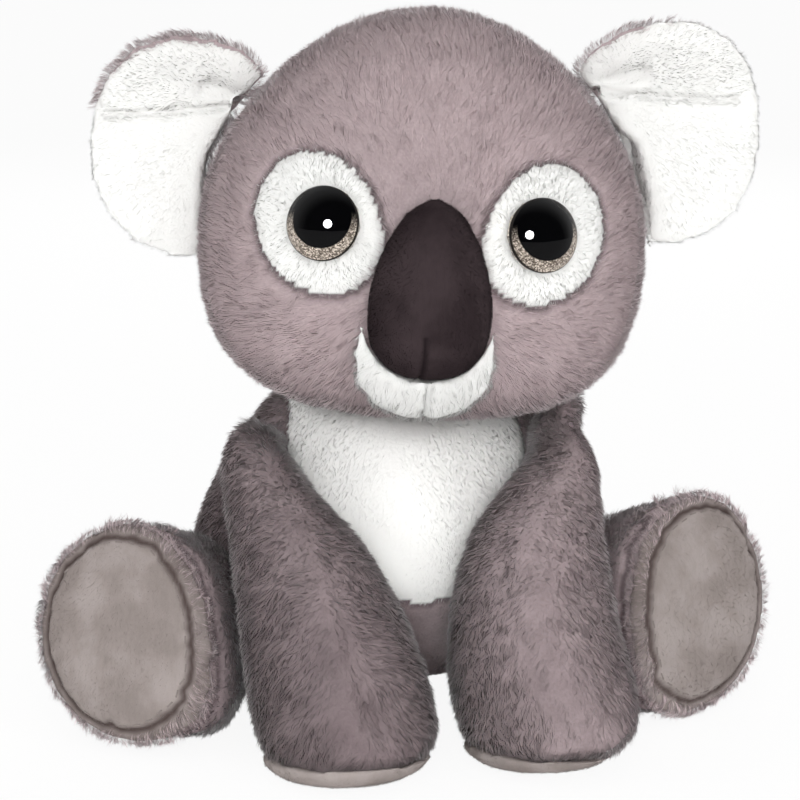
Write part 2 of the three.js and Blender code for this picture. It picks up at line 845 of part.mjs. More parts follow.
// Bar with the outline of a sole pad, along the way that the foot points
function soleBlock(sign, margin) {
  const shape = new THREE.Shape();
  shape.absellipse(0, 0, solePadHalfWidth + margin, solePadHalfHeight + margin, 0, 2 * Math.PI);
  const length = 2 * (footEdge + plushThickness);
  const leg = legShape(sign);
  const way = leg.end.clone().sub(leg.bend).normalize();
  const across = new THREE.Vector3().crossVectors(up, way).normalize();
  const upward = new THREE.Vector3().crossVectors(way, across);
  const matrix = new THREE.Matrix4().makeBasis(across, upward, way).setPosition(leg.end);
  return solidOfGeometry(bar(shape, length).applyMatrix4(matrix));
}

function legPieces(sign, side, leg, past) {
  const shell = aboveGround(leg.outer).subtract(leg.inner).subtract(past);
  return {
    pivot: legHinge(sign).point,
    pieces: [
      [`leg_cover_${side}`, largestPiece(shell.subtract(soleBlock(sign, seamGap / 2))), greyPlush],
      [`sole_pad_${side}`, largestPiece(shell.intersect(soleBlock(sign, -seamGap / 2))), soleVelour],
      [`leg_stuffing_${side}`, largestPiece(leg.core.subtract(past)), wadding],
    ],
  };
}

// Group of the pieces that move together, placed at their pivot
function sewnGroup({ pivot, pieces }, parentPivot) {
  const group = new THREE.Group();
  group.position.copy(pivot).sub(parentPivot);
  for (const [name, solid, material] of pieces) {
    const geometry = geometryOf(solid);
    geometry.translate(-pivot.x, -pivot.y, -pivot.z);
    const mesh = new THREE.Mesh(geometry, material);
    mesh.name = name;
    group.add(mesh);
  }
  return group;
}

function koala() {
  const makeTorso = (inset, facets) => offsetForm(stuffedForm(torsoSize, torsoMatrix, facets), -inset);
  const makeHead = (inset, facets) => offsetForm(stuffedForm(headSize, headMatrix, facets), -inset);
  const torso = fabricSolids(makeTorso, bodyFacets, bodyCoreFacets, plushThickness);
  const head = fabricSolids(makeHead, bodyFacets, bodyCoreFacets, plushThickness);
  const headPast = sweptPast(head.grown, neckHinge);
  const ground = new THREE.Vector3(0, 0, 0);
  const whole = sewnGroup({ pivot: ground, pieces: torsoPieces(torso, headPast) }, ground);
  const headGroup = sewnGroup({ pivot: neckHinge.point, pieces: headPieces(head) }, ground);
  whole.add(headGroup);
  for (const { name, sign } of sides) {
    const makeArm = (inset, facets) => limbForm(insetLimb(armShape(sign), inset), facets);
    const makeLeg = (inset, facets) => limbForm(insetLimb(legShape(sign), inset), facets);
    const arm = fabricSolids(makeArm, limbFacets, limbCoreFacets, plushThickness);
    const leg = fabricSolids(makeLeg, limbFacets, limbCoreFacets, plushThickness);
    const armPast = sweptPast(torso.grown.add(headPast), armHinge(sign));
    const armSwept = sweptPast(arm.grown, { ...armHinge(sign), from: 0, to: -armSwing });
    const legPast = sweptPast(torso.grown.add(arm.grown), legHinge(sign)).add(armSwept);
    whole.add(sewnGroup(armPieces(sign, name, arm, armPast), ground));
    whole.add(sewnGroup(legPieces(sign, name, leg, legPast), ground));
    headGroup.add(sewnGroup(earPieces(sign, name, head.grown), neckHinge.point));
  }
  return whole;
}

export default koala();
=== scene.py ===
# Looks of the seated plush koala: stuffed forms, pile on every plush panel, velour, eyes and studio.
# Metres. The face looks along -Y, and left and right are the koala's own.

import json
import math

import bpy
import numpy as np
from mathutils import Matrix, Vector
from mathutils.bvhtree import BVHTree
from mathutils.kdtree import KDTree


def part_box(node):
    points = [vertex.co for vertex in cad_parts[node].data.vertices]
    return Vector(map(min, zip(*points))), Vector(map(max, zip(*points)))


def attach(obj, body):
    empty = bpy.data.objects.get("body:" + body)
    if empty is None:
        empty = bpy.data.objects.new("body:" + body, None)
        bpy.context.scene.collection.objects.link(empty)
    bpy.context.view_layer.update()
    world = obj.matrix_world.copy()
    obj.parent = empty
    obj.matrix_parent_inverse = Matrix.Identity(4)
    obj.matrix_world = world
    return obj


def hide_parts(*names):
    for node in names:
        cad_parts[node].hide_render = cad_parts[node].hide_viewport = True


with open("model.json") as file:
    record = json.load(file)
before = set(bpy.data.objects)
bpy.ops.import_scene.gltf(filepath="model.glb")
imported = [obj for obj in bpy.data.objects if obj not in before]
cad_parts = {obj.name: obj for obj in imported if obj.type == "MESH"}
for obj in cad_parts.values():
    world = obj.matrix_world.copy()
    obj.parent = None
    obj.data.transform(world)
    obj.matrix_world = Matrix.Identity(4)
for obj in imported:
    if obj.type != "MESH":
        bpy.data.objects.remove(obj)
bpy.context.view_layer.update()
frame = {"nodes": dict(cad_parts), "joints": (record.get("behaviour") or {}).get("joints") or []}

MM = 0.001
SIDES = (("left", 1), ("right", -1))
DOWN = np.array([0.0, 0.0, -1.0])
SEED = 11
random = np.random.default_rng(SEED)

# Camera of the photograph
CAMERA_AZIMUTH = math.radians(-9)
CAMERA_RISE = math.radians(14)
CAMERA_DISTANCE = 1.0
CAMERA_TARGET = Vector((0, -0.015, 0.125))
CAMERA_LENS = 108.3
CAMERA_SENSOR = 36

# Lamps: shape, size in metres, power in watts, how far along the line from the camera's target to the
# camera its place is counted from (None for the ground's middle), and its place from there
LAMPS = {
    "front": ("DISK", 0.5, 4.5, 1.02, (0.04, 0, 0.06)),
    "key": ("DISK", 0.8, 1.8, 1.05, (0.70, 0.10, 0.20)),
    "top": ("SQUARE", 1.1, 1.3, None, (0.10, -0.65, 1.25)),
    "fill": ("DISK", 0.8, 1.7, None, (-1.05, -0.25, 0.45)),
    "back": ("DISK", 0.8, 4.5, None, (0.30, 1.30, 0.70)),
    "glint": ("DISK", 0.36, 190, 1.02, (-0.12, 0, 0.10)),
}
WORLD_LIGHT = 0.6
FLOOR_SIZE = 8
FLOOR_GLOW = 0.92

# Colours as they look in daylight, 0 to 255
# Root colours are darker than the tips: painted shade deep in the pile, which the backing between the fibres
# shares
GREY_ROOT = (160, 143, 145)
GREY_MIDDLE = (200, 182, 184)
GREY_TIP = (216, 200, 202)
# Dark grey: painted shade in the seams and on the shaded fronts of body, arms and legs, and the darker grey
# round the top of the nose
GREY_SHADE_AND_DARK = (72, 54, 58)
WHITE_ROOT = (251, 251, 248)
WHITE_TIP = (252, 252, 250)
SOLE_ROOT = (124, 115, 111)
SOLE_MIDDLE = (142, 133, 129)
SOLE_TIP = (162, 153, 150)
# Painted shade in the groove round a sole and on the pad under the pile that laps over it
SOLE_SHADE = (74, 63, 61)
NOSE_ROOT = (36, 29, 31)
NOSE_MIDDLE = (47, 38, 40)
NOSE_TIP = (62, 53, 55)
# Painted shade in the nose's seam groove
NOSE_SEAM = (30, 24, 26)
THREAD = (122, 112, 108)
PUPIL = (5, 5, 6)
GLITTER_DARK = (84, 74, 66)
GLITTER_BRIGHT = (226, 214, 200)
EYE_RIM = (40, 37, 35)
WASHER = (228, 228, 224)
BEAD_CLOTH = (216, 210, 196)
BEAD_CLOTH_LIGHT = (232, 228, 216)
FLOOR_COLOUR = (250, 250, 250)

# Sizes of the eyes' printed rings, as shares of the dome's radius, and of the dome's mesh
PUPIL_SHARE = 0.79
PUPIL_UP_SHARE = 0.10
PUPIL_INWARD_SHARE = 0.07
RIM_SHARE = 0.965
DOME_SPOKES = 72
DOME_RINGS = 18
DOME_RIM_SHARE = 0.13
DOME_SMOOTH_ANGLE = math.radians(50)


def linear(colour):
    """Light amounts of a colour that is given as it looks, 0 to 255."""
    shares = [value / 255 for value in colour]
    return tuple(s / 12.92 if s <= 0.04045 else ((s + 0.055) / 1.055) ** 2.4 for s in shares) + (1.0,)


class Value:
    """A socket that adds its Math nodes when it is used in a sum."""

    def __init__(self, tree, socket):
        self.tree = tree
        self.socket = socket

    def joined(self, operation, one, other):
        node = self.tree.nodes.new("ShaderNodeMath")
        node.operation = operation
        for place, value in enumerate((one, other)):
            feed(self.tree, node.inputs[place], value)
        return Value(self.tree, node.outputs[0])

    def __add__(self, other):
        return self.joined("ADD", self, other)

    def __radd__(self, other):
        return self.joined("ADD", other, self)

    def __sub__(self, other):
        return self.joined("SUBTRACT", self, other)

    def __rsub__(self, other):
        return self.joined("SUBTRACT", other, self)

    def __mul__(self, other):
        return self.joined("MULTIPLY", self, other)

    def __pow__(self, other):
        return self.joined("POWER", self, other)


def feed(tree, socket, value):
    if isinstance(value, Value):
        tree.links.new(value.socket, socket)
    elif value is not None:
        socket.default_value = value


class Nodes:
    """A node tree under construction."""

    def __init__(self, tree):
        self.tree = tree

    def node(self, kind, settings=None, inputs=None, output=0):
        node = self.tree.nodes.new(kind)
        for key, value in (settings or {}).items():
            setattr(node, key, value)
        for key, value in (inputs or {}).items():
            feed(self.tree, node.inputs[key], value)
        return Value(self.tree, node.outputs[output])

    def parts(self, vector):
        """The three numbers of a vector."""
        split = self.tree.nodes.new("ShaderNodeSeparateXYZ")
        feed(self.tree, split.inputs[0], vector)
        return [Value(self.tree, output) for output in split.outputs]

    def ray(self, kind):
        return self.node("ShaderNodeLightPath", output=f"Is {kind} Ray")


class Finish(Nodes):
    """A material under construction, with one Principled shader."""

    def __init__(self, name, **settings):
        self.material = bpy.data.materials.new(name)
        self.material.use_nodes = True
        super().__init__(self.material.node_tree)
        self.shader = self.tree.nodes["Principled BSDF"]
        for socket, value in settings.items():
            self.set(socket.replace("_", " "), value)

    def set(self, socket, value):
        feed(self.tree, self.shader.inputs[socket], value)

    def place(self):
        return self.node("ShaderNodeTexCoord", output="Object")

    def noise(self, scale, detail, vector=None):
        place = vector or self.place()
        return self.node("ShaderNodeTexNoise", inputs={"Vector": place, "Scale": scale, "Detail": detail})

    def map_parts(self, name):
        """The two numbers of a UV map."""
        return self.parts(self.node("ShaderNodeUVMap", {"uv_map": name}))[:2]

    def marked(self, name):
        """A share that is marked at the mesh's points."""
        return self.node("ShaderNodeAttribute", {"attribute_name": name}, output="Fac")

    def mix(self, share, one, other):
        """Mix of two colours, each from a node or as it looks, 0 to 255."""
        one, other = (linear(c) if isinstance(c, tuple) else c for c in (one, other))
        return self.node("ShaderNodeMix", {"data_type": "RGBA"}, {0: share, 6: one, 7: other}, output=2)

    def scaled(self, colour, light):
        return self.node("ShaderNodeVectorMath", {"operation": "SCALE"}, {0: colour, "Scale": light})

    def between(self, value, low, high):
        """0 below low, 1 above high and a smooth step in between."""
        inputs = {"Value": value, "From Min": low, "From Max": high}
        return self.node("ShaderNodeMapRange", {"interpolation_type": "SMOOTHSTEP"}, inputs)

    def bump(self, height, strength, distance):
        inputs = {"Height": height, "Strength": strength, "Distance": distance}
        self.set("Normal", self.node("ShaderNodeBump", inputs=inputs))


# Light of a fibre at tint 0, and how much a tint of 1 adds
LEAST_LIGHT = 0.1
TINT_LIGHT = 1.6


def pile_finish(name, root, middle, tip, sheen):
    """Fibres with painted shade, darker at the root. The map named fibre gives each one's tint and the way up
    it.
    """
    finish = Finish(name, Roughness=0.9, Sheen_Weight=sheen, Sheen_Roughness=0.4, Specular_IOR_Level=0.0)
    tint, along = finish.map_parts("fibre")
    low = finish.mix(finish.between(along, 0.0, 0.45), root, middle)
    whole = finish.mix(finish.between(along, 0.4, 1.0), low, tip)
    finish.set("Base Color", finish.scaled(whole, LEAST_LIGHT + tint * TINT_LIGHT))
    return finish.material


def plush_backing_finish():
    """Knitted backing: grey or, where white_share says so, white; its grey darkens with painted shade and
    near the nose.
    """
    finish = Finish("plush_backing", Roughness=0.95, Specular_IOR_Level=0.1)
    white_share = finish.marked("white_share")
    knit = finish.noise(900, 2)
    grey = finish.mix(finish.marked("shade_and_dark_share"), finish.mix(knit, GREY_ROOT, GREY_MIDDLE), GREY_SHADE_AND_DARK)
    white = finish.scaled(finish.mix(knit, WHITE_ROOT, WHITE_TIP), white_share)
    finish.set("Base Color", finish.mix(finish.between(white_share, 0.3, 0.6), grey, white))
    finish.bump(knit, 0.3, 0.5 * MM)
    return finish.material


def velour_finish(name, root, tip, seam):
    """Short nap, brushed into soft lighter and darker places with fine upright streaks, and painted shade
    where marked.
    """
    finish = Finish(name, Roughness=0.95, Specular_IOR_Level=0.0)
    brushed = finish.between(finish.noise(48, 3), 0.34, 0.66)
    upright = finish.node("ShaderNodeMapping", inputs={"Vector": finish.place(), "Scale": (1.0, 1.0, 0.16)})
    streaks = finish.noise(700, 3, upright)
    grain = finish.noise(1600, 1)
    colour = finish.mix(brushed * 0.55 + streaks * 0.3 + grain * 0.15, root, tip)
    finish.set("Base Color", finish.mix(finish.marked("shade_and_dark_share"), colour, seam))
    finish.bump(streaks * 0.6 + grain * 0.4, 0.25, 0.5 * MM)
    return finish.material


def thread_finish():
    finish = Finish("seam_thread", Roughness=0.8, Specular_IOR_Level=0.1)
    twist = finish.noise(2600, 1)
    finish.set("Base Color", finish.mix(twist, THREAD, SOLE_ROOT))
    finish.bump(twist, 0.4, 0.1 * MM)
    return finish.material


def glitter_of(finish):
    """Flakes of a silvery glitter, each cell its own brightness."""
    inputs = {"Vector": finish.place(), "Scale": 2100}
    sparkle = finish.parts(finish.node("ShaderNodeTexVoronoi", {"feature": "F1"}, inputs, "Color"))[0]
    return finish.mix(sparkle ** 2.2, GLITTER_DARK, GLITTER_BRIGHT), sparkle


def eye_finish():
    """Polished dome: black pupil, glitter round it and a dark rim, from the map named iris."""
    finish = Finish("eye_dome", Specular_IOR_Level=0.0, Coat_Roughness=0.01, Coat_IOR=1.2, Coat_Weight=1.0)
    across, rise = finish.map_parts("iris")
    pupil_across = across - PUPIL_INWARD_SHARE
    pupil_rise = rise - PUPIL_UP_SHARE
    from_pupil = (pupil_across * pupil_across + pupil_rise * pupil_rise) ** 0.5
    from_middle = (across * across + rise * rise) ** 0.5
    glitter, sparkle = glitter_of(finish)
    ring = finish.between(from_pupil, PUPIL_SHARE - 0.012, PUPIL_SHARE + 0.012)
    rim = finish.between(from_middle, RIM_SHARE, RIM_SHARE + 0.02)
    # Painted shade: the glitter fades into the black of the pupil towards the top
    lit = finish.between(rise, 0.35, -0.25)
    finish.set("Base Color", finish.mix(rim, finish.mix(ring * lit, PUPIL, glitter), EYE_RIM))
    finish.set("Roughness", 0.3 + sparkle * 0.4)
    return finish.material


def glitter_finish():
    finish = Finish("eye_glitter", Coat_Weight=0.6, Coat_Roughness=0.1)
    glitter, sparkle = glitter_of(finish)
    finish.set("Base Color", glitter)
    finish.set("Roughness", 0.2 + sparkle * 0.3)
    finish.set("Metallic", 0.3 + sparkle * 0.4)
    return finish.material


def washer_finish():
    finish = Finish("moulded_washer", IOR=1.5)
    cloud = finish.noise(300, 3)
    finish.set("Base Color", finish.mix(cloud, WASHER, WHITE_ROOT))
    finish.set("Roughness", 0.4 + cloud * 0.2)
    finish.bump(cloud, 0.1, 0.2 * MM)
    return finish.material


def bead_cloth_finish():
    """Plain woven cotton, from two crossing sets of threads."""
    finish = Finish("bead_cloth", Roughness=0.9, Specular_IOR_Level=0.2)
    inputs = {"Vector": finish.place(), "Scale": 320.0, "Distortion": 0.4}
    warp, weft = (
        finish.node("ShaderNodeTexWave", {"bands_direction": axis}, inputs, "Fac") for axis in ("X", "Y")
    )
    weave = warp * 0.5 + weft * 0.5
    finish.set("Base Color", finish.mix(weave, BEAD_CLOTH, BEAD_CLOTH_LIGHT))
    finish.bump(weave, 0.4, 0.4 * MM)
    return finish.material


plush_backing = plush_backing_finish()
seam_thread = thread_finish()

# Material of the forms and of the fibres, for each slot of the record
BACKINGS = {
    "grey_plush": plush_backing,
    "white_plush": plush_backing,
    "sole_velour": velour_finish("sole_velour", SOLE_ROOT, SOLE_TIP, SOLE_SHADE),
    "nose_velour": velour_finish("nose_velour", NOSE_ROOT, NOSE_TIP, NOSE_SEAM),
    "bead_cloth": bead_cloth_finish(),
}
FIBRES = {
    "grey_plush": pile_finish("grey_pile", GREY_ROOT, GREY_MIDDLE, GREY_TIP, 0.4),
    "white_plush": pile_finish("white_pile", WHITE_ROOT, WHITE_TIP, WHITE_TIP, 0.0),
    "sole_velour": pile_finish("sole_nap", SOLE_ROOT, SOLE_MIDDLE, SOLE_TIP, 0.05),
    "nose_velour": pile_finish("nose_nap", NOSE_ROOT, NOSE_MIDDLE, NOSE_TIP, 0.03),
}


def deselect():
    if bpy.context.object and bpy.context.object.mode != "OBJECT":
        bpy.ops.object.mode_set(mode="OBJECT")
    bpy.ops.object.select_all(action="DESELECT")


def select(*objects):
    deselect()
    for piece in objects:
        piece.select_set(True)
    bpy.context.view_layer.objects.active = objects[-1]


def edit_all():
    """Opens the active piece for editing, with all of it selected."""
    bpy.ops.object.mode_set(mode="EDIT")
    bpy.ops.mesh.select_all(action="SELECT")


def linked(name, data):
    piece = bpy.data.objects.new(name, data)
    bpy.context.scene.collection.objects.link(piece)
    return piece


def facing(place, way):
    """Matrix of something at a place whose Z runs along the way."""
    return Matrix.Translation(place) @ Vector(way).to_track_quat("Z", "Y").to_matrix().to_4x4()


def apply(piece, kind, **settings):
    """Adds a modifier and applies it."""
    modifier = piece.modifiers.new(kind, kind)
    for key, value in settings.items():
        setattr(modifier, key, value)
    select(piece)
    bpy.ops.object.modifier_apply(modifier=modifier.name)


def copied(name, nodes):
    """One mesh out of copies of CAD nodes, with their shared corners merged."""
    copies = [linked(node, frame["nodes"][node].data.copy()) for node in nodes]
    select(*copies)
    if len(copies) > 1:
        bpy.ops.object.join()
    piece = bpy.context.object
    piece.name = name
    piece.data.name = name
    piece.data.materials.clear()
    edit_all()
    bpy.ops.mesh.remove_doubles(threshold=1e-6)
    bpy.ops.mesh.customdata_custom_splitnormals_clear()
    bpy.ops.object.mode_set(mode="OBJECT")
    return piece


def point_values(piece, name):
    values = np.empty(3 * len(piece.data.vertices), np.float32)
    piece.data.vertices.foreach_get(name, values)
    return values.reshape(-1, 3).astype(np.float64)


def points_of(piece):
    return point_values(piece, "co")


def normals_of(piece):
    return point_values(piece, "normal")


def move_points(piece, places):
    piece.data.vertices.foreach_set("co", places.astype(np.float32).ravel())
    piece.data.update()


# How the forms are stuffed: size of the remeshed facets, rounds of smoothing, how far the skin then
# goes in to make room for the pile, and how far the cloth swells at most
PLUSH = {"voxel": 4 * MM, "rounds": 30, "inset": 2.4 * MM, "swell": 3 * MM}
NOSE = {"voxel": 2.2 * MM, "rounds": 9, "inset": 0.2 * MM, "swell": 1 * MM}
MUZZLE = {"voxel": 1.8 * MM, "rounds": 6, "inset": 0.8 * MM, "swell": 0.8 * MM}
EAR = {"voxel": 2.2 * MM, "rounds": 8, "inset": 1.2 * MM, "swell": 0.8 * MM}
PAD = {"voxel": 2.2 * MM, "rounds": 8, "inset": 0.6 * MM, "swell": 1.5 * MM}
POUCH = {"voxel": 4 * MM, "rounds": 6, "inset": 1.0 * MM, "swell": 0}
PRESSURE = 4
CLOTH_STEPS = 20


def stuffed(name, nodes, voxel, rounds, inset, swell):
    """Stuffed form out of the nodes of one sewn part: remeshed, blown up as cloth and smoothed."""
    piece = copied(name, nodes)
    apply(piece, "REMESH", mode="VOXEL", voxel_size=voxel)
    if swell:
        blow_up(piece, swell)
    apply(piece, "SMOOTH", factor=0.5, iterations=rounds)
    apply(piece, "SUBSURF", levels=1, render_levels=1)
    apply(piece, "DISPLACE", strength=-inset, mid_level=0.0)
    select(piece)
    bpy.ops.object.shade_smooth()
    return piece


def blow_up(piece, cap):
    """Cloth under pressure, which may move no point further than the cap."""
    before = points_of(piece)
    cloth = piece.modifiers.new("Cloth", "CLOTH")
    cloth.settings.use_pressure = True
    cloth.settings.uniform_pressure_force = PRESSURE
    cloth.settings.effector_weights.gravity = 0
    cloth.settings.quality = 4
    scene = bpy.context.scene
    for step in range(1, CLOTH_STEPS + 1):
        scene.frame_set(step)
    select(piece)
    bpy.ops.object.modifier_apply(modifier=cloth.name)
    scene.frame_set(1)
    shift = points_of(piece) - before
    reach = np.linalg.norm(shift, axis=1, keepdims=True)
    move_points(piece, before + shift * np.minimum(1, cap / np.maximum(reach, 1e-9)))


def pull_in(piece, away, width, depth):
    """Draws a form in where away, each point's distance from a seam, is small, and paints shade into that
    groove.
    """
    share = np.exp(-(away / width) ** 2)
    move_points(piece, points_of(piece) - normals_of(piece) * depth * share[:, None])
    add_shade_and_dark(piece, share)


def mark(piece, name, shares):
    layer = piece.data.attributes.get(name) or piece.data.attributes.new(name, "FLOAT", "POINT")
    layer.data.foreach_set("value", shares.astype(np.float32))


def add_shade_and_dark(piece, shares):
    """Raises the form's marked painted shade and darkening where the new shares are more than it has."""
    before = np.zeros(len(piece.data.vertices), np.float32)
    if "shade_and_dark_share" in piece.data.attributes:
        piece.data.attributes["shade_and_dark_share"].data.foreach_get("value", before)
    mark(piece, "shade_and_dark_share", np.maximum(before, shares))


def triangles_of(piece):
    mesh = piece.data
    mesh.calc_loop_triangles()
    corners = np.empty(3 * len(mesh.loop_triangles), np.int32)
    mesh.loop_triangles.foreach_get("vertices", corners)
    return corners.reshape(-1, 3)


def unit(ways):
    return ways / np.maximum(np.linalg.norm(ways, axis=-1, keepdims=True), 1e-12)


def along_surface(ways, normals):
    return unit(ways - normals * np.sum(ways * normals, axis=1, keepdims=True))


def turned(ways, normals, angles):
    beside = np.cross(normals, ways)
    return ways * np.cos(angles)[:, None] + beside * np.sin(angles)[:, None]


WAVES = 7


def waves(places, size):
    """Soft noise between about -1 and 1, whose bumps are about the given size."""
    total = np.zeros(len(places))
    for _ in range(WAVES):
        way = unit(random.normal(size=3)) * 2 * math.pi / size * random.uniform(0.6, 1.5)
        total += np.sin(places @ way + random.uniform(0, 2 * math.pi))
    return total / math.sqrt(WAVES)


def tree_of(node):
    mesh = frame["nodes"][node].data
    return BVHTree.FromPolygons([v.co for v in mesh.vertices], [p.vertices for p in mesh.polygons])


def tree_of_points(places):
    tree = KDTree(len(places))
    for number, place in enumerate(places):
        tree.insert(place, number)
    tree.balance()
    return tree


def away_from(tree, places):
    """Distance of each place from the nearest point of a tree."""
    return np.array([tree.find(place)[2] for place in places])


def near_box(places, node, margin):
    low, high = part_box(node)
    return np.all((places > np.array(low) - margin) & (places < np.array(high) + margin), axis=1)


def nearest_node(places, nodes):
    """Number of the CAD node that each place is nearest to."""
    result = np.zeros(len(places), np.int32)
    best = np.full(len(places), 1.0)
    for number, node in enumerate(nodes):
        tree = tree_of(node)
        for index in np.nonzero(near_box(places, node, 10 * MM))[0]:
            found = tree.find_nearest(places[index], best[index])
            if found[3] is not None and found[3] < best[index]:
                best[index] = found[3]
                result[index] = number
    return result


def clear_of(places, nodes, distance):
    """Which places lie at least a distance from all the nodes."""
    result = np.ones(len(places), bool)
    for node in nodes:
        tree = tree_of(node)
        for index in np.nonzero(near_box(places, node, distance))[0]:
            if tree.find_nearest(places[index], distance)[3] is not None:
                result[index] = False
    return result


def seam_tree(piece, owner):
    """Tree of the middles of the edges that join two panels of a form."""
    edges = np.empty(2 * len(piece.data.edges), np.int32)
    piece.data.edges.foreach_get("vertices", edges)
    edges = edges.reshape(-1, 2)
    crossing = edges[owner[edges[:, 0]] != owner[edges[:, 1]]]
    return tree_of_points(points_of(piece)[crossing].mean(axis=1))


def sew(piece, owner, width, depth):
    """Draws the form in along the seams between its panels, with painted shade in their grooves."""
    pull_in(piece, away_from(seam_tree(piece, owner), points_of(piece)), width, depth)


def scattered(piece, density):
    """Places all over a form, so many to a square metre, with their normals and triangles."""
    corners = triangles_of(piece)
    normals = normals_of(piece)
    places = points_of(piece)
    one, two, three = (places[corners[:, side]] for side in range(3))
    areas = np.linalg.norm(np.cross(two - one, three - one), axis=1) / 2
    reach = np.cumsum(areas)
    count = int(reach[-1] * density)
    chosen = corners[np.searchsorted(reach, random.uniform(0, reach[-1], count))]
    first, second = random.uniform(size=(2, count))
    over = first + second > 1
    first[over], second[over] = 1 - first[over], 1 - second[over]
    shares = np.stack((1 - first - second, first, second), axis=1)
    spots = np.einsum("ij,ijk->ik", shares, places[chosen])
    ways = unit(np.einsum("ij,ijk->ik", shares, normals[chosen]))
    return spots, ways, chosen


def panels(piece, nodes, owner, pile, under, gap):
    """Roots and normals of a pile on each of a form's panels, away from what is sewn on over it."""
    roots, normals, chosen = scattered(piece, pile["density"])
    corners = owner[chosen]
    panel = corners[:, 0].copy()
    mixed = np.any(corners != corners[:, :1], axis=1)
    panel[mixed] = nearest_node(roots[mixed], nodes)
    panel[~clear_of(roots, under, gap)] = -1
    return [(roots[panel == number], normals[panel == number]) for number in range(len(nodes))]


def locks(roots, share):
    """For each fibre, the fibre at the middle of its lock."""
    middles = random.choice(len(roots), max(1, int(len(roots) * share)), replace=False)
    tree = tree_of_points(roots[middles])
    return middles[np.array([tree.find(root)[1] for root in roots])]


# Piles: length and width of a fibre in metres, and how many grow on a square metre. Its lean from
# upright and the droop of its upper half are angles. Locks are groups of fibres round a lock_share of
# them, whose tips gather by the share draw. The flow sways from place to place and strays from lock to
# lock, unrest varies the lean and blotch the tint, and facing is how much of its own side each shows.
FACE_PILE = {
    "slot": "grey_plush", "length": 4.4 * MM, "width": 0.23 * MM, "density": 3.3e6,
    "lean": math.radians(38), "droop": math.radians(22), "lock_share": 0.22, "draw": 0.35,
    "sway": math.radians(12), "stray": math.radians(14), "unrest": 0.2, "blotch": 0.03, "facing": 0.15,
}
BODY_PILE = {
    **FACE_PILE, "length": 4.6 * MM, "width": 0.24 * MM, "density": 2.8e6, "lean": math.radians(40),
    "sway": math.radians(26), "stray": math.radians(15), "blotch": 0.014, "facing": 0.12,
}
RIM_PILE = {
    **FACE_PILE, "width": 0.2 * MM, "density": 3.4e6, "lean": math.radians(54), "lock_share": 0.12,
    "draw": 0.6, "blotch": 0.06, "facing": 0.3,
}
WHITE_PILE = {
    **FACE_PILE, "slot": "white_plush", "length": 2.2 * MM, "width": 0.16 * MM, "density": 1.9e6,
    "lean": math.radians(73), "droop": math.radians(8), "draw": 0.1, "unrest": 0.08, "blotch": 0.002,
    "facing": 0.0,
}
MUZZLE_PILE = {**WHITE_PILE, "length": 3.4 * MM, "density": 3e6, "lean": math.radians(62)}
SOLE_NAP = {
    "slot": "sole_velour", "length": 0.9 * MM, "width": 0.12 * MM, "density": 1.6e6,
    "lean": math.radians(56), "droop": math.radians(12), "lock_share": 0.3, "draw": 0.0,
    "sway": math.radians(30), "stray": math.radians(10), "unrest": 0.05, "blotch": 0.02, "facing": 0.0,
}
SEAT_NAP = {**SOLE_NAP, "width": 0.38 * MM}
NOSE_NAP = {**SOLE_NAP, "slot": "nose_velour", "density": 3e6, "sway": math.radians(16)}
SWAY_SIZE = 22 * MM
LEAN_SIZE = 13 * MM
LENGTH_SPREAD = 0.10
ROOT_DEPTH = 0.3 * MM
FLOOR_GAP = 0.3 * MM
UV_HALF_WIDTH = 0.004
MOST_FIBRES = 90000


def fibres(roots, normals, flow, tint, pile, trim):
    """Bent blades on the given roots, cut to the share trim. Returns corners, shading normals and tints."""
    count = len(roots)
    lock = locks(roots, pile["lock_share"])
    sway = waves(roots, SWAY_SIZE) * pile["sway"]
    own = random.normal(size=count) * pile["stray"]
    flow = turned(flow, normals, sway + own[lock] + 0.5 * own)
    unrest = pile["unrest"]
    lean = pile["lean"] * (1 + unrest * waves(roots, LEAN_SIZE)) + random.normal(size=count) * 0.4 * unrest
    length = pile["length"] * (1 + LENGTH_SPREAD * random.normal(size=count))
    length = length * (1 + LENGTH_SPREAD * random.normal(size=count)[lock])
    length = np.clip(length, pile["length"] * 0.55, pile["length"] * 1.35) * trim
    lean = np.clip(lean, 0.15, 1.35)
    last = np.clip(lean + pile["droop"], 0.3, 1.5)
    gather = (roots[lock] - roots) * pile["draw"]
    step = (length * 0.5)[:, None]
    middle = roots + step * (normals * np.cos(lean)[:, None] + flow * np.sin(lean)[:, None])
    tip = middle + step * (normals * np.cos(last)[:, None] + flow * np.sin(last)[:, None]) + gather
    middle = middle + gather * 0.35
    beside = unit(np.cross(tip - roots, normals) + 0.35 * normals * random.normal(size=(count, 1)))
    half = beside * (pile["width"] * 0.5 * random.uniform(0.75, 1.25, size=count))[:, None]
    corners = np.stack((roots - normals * ROOT_DEPTH, middle + half, middle - half, tip), axis=1)
    corners[:, :, 2] = np.maximum(corners[:, :, 2], FLOOR_GAP)
    own_side = unit(np.cross(beside, tip - roots))
    shading = np.repeat(unit(normals + pile["facing"] * own_side)[:, None, :], 4, axis=1)
    tint = tint + pile["blotch"] * (random.normal(size=count)[lock] + random.normal(size=count))
    return corners, shading, np.clip(tint, 0.02, 0.98)


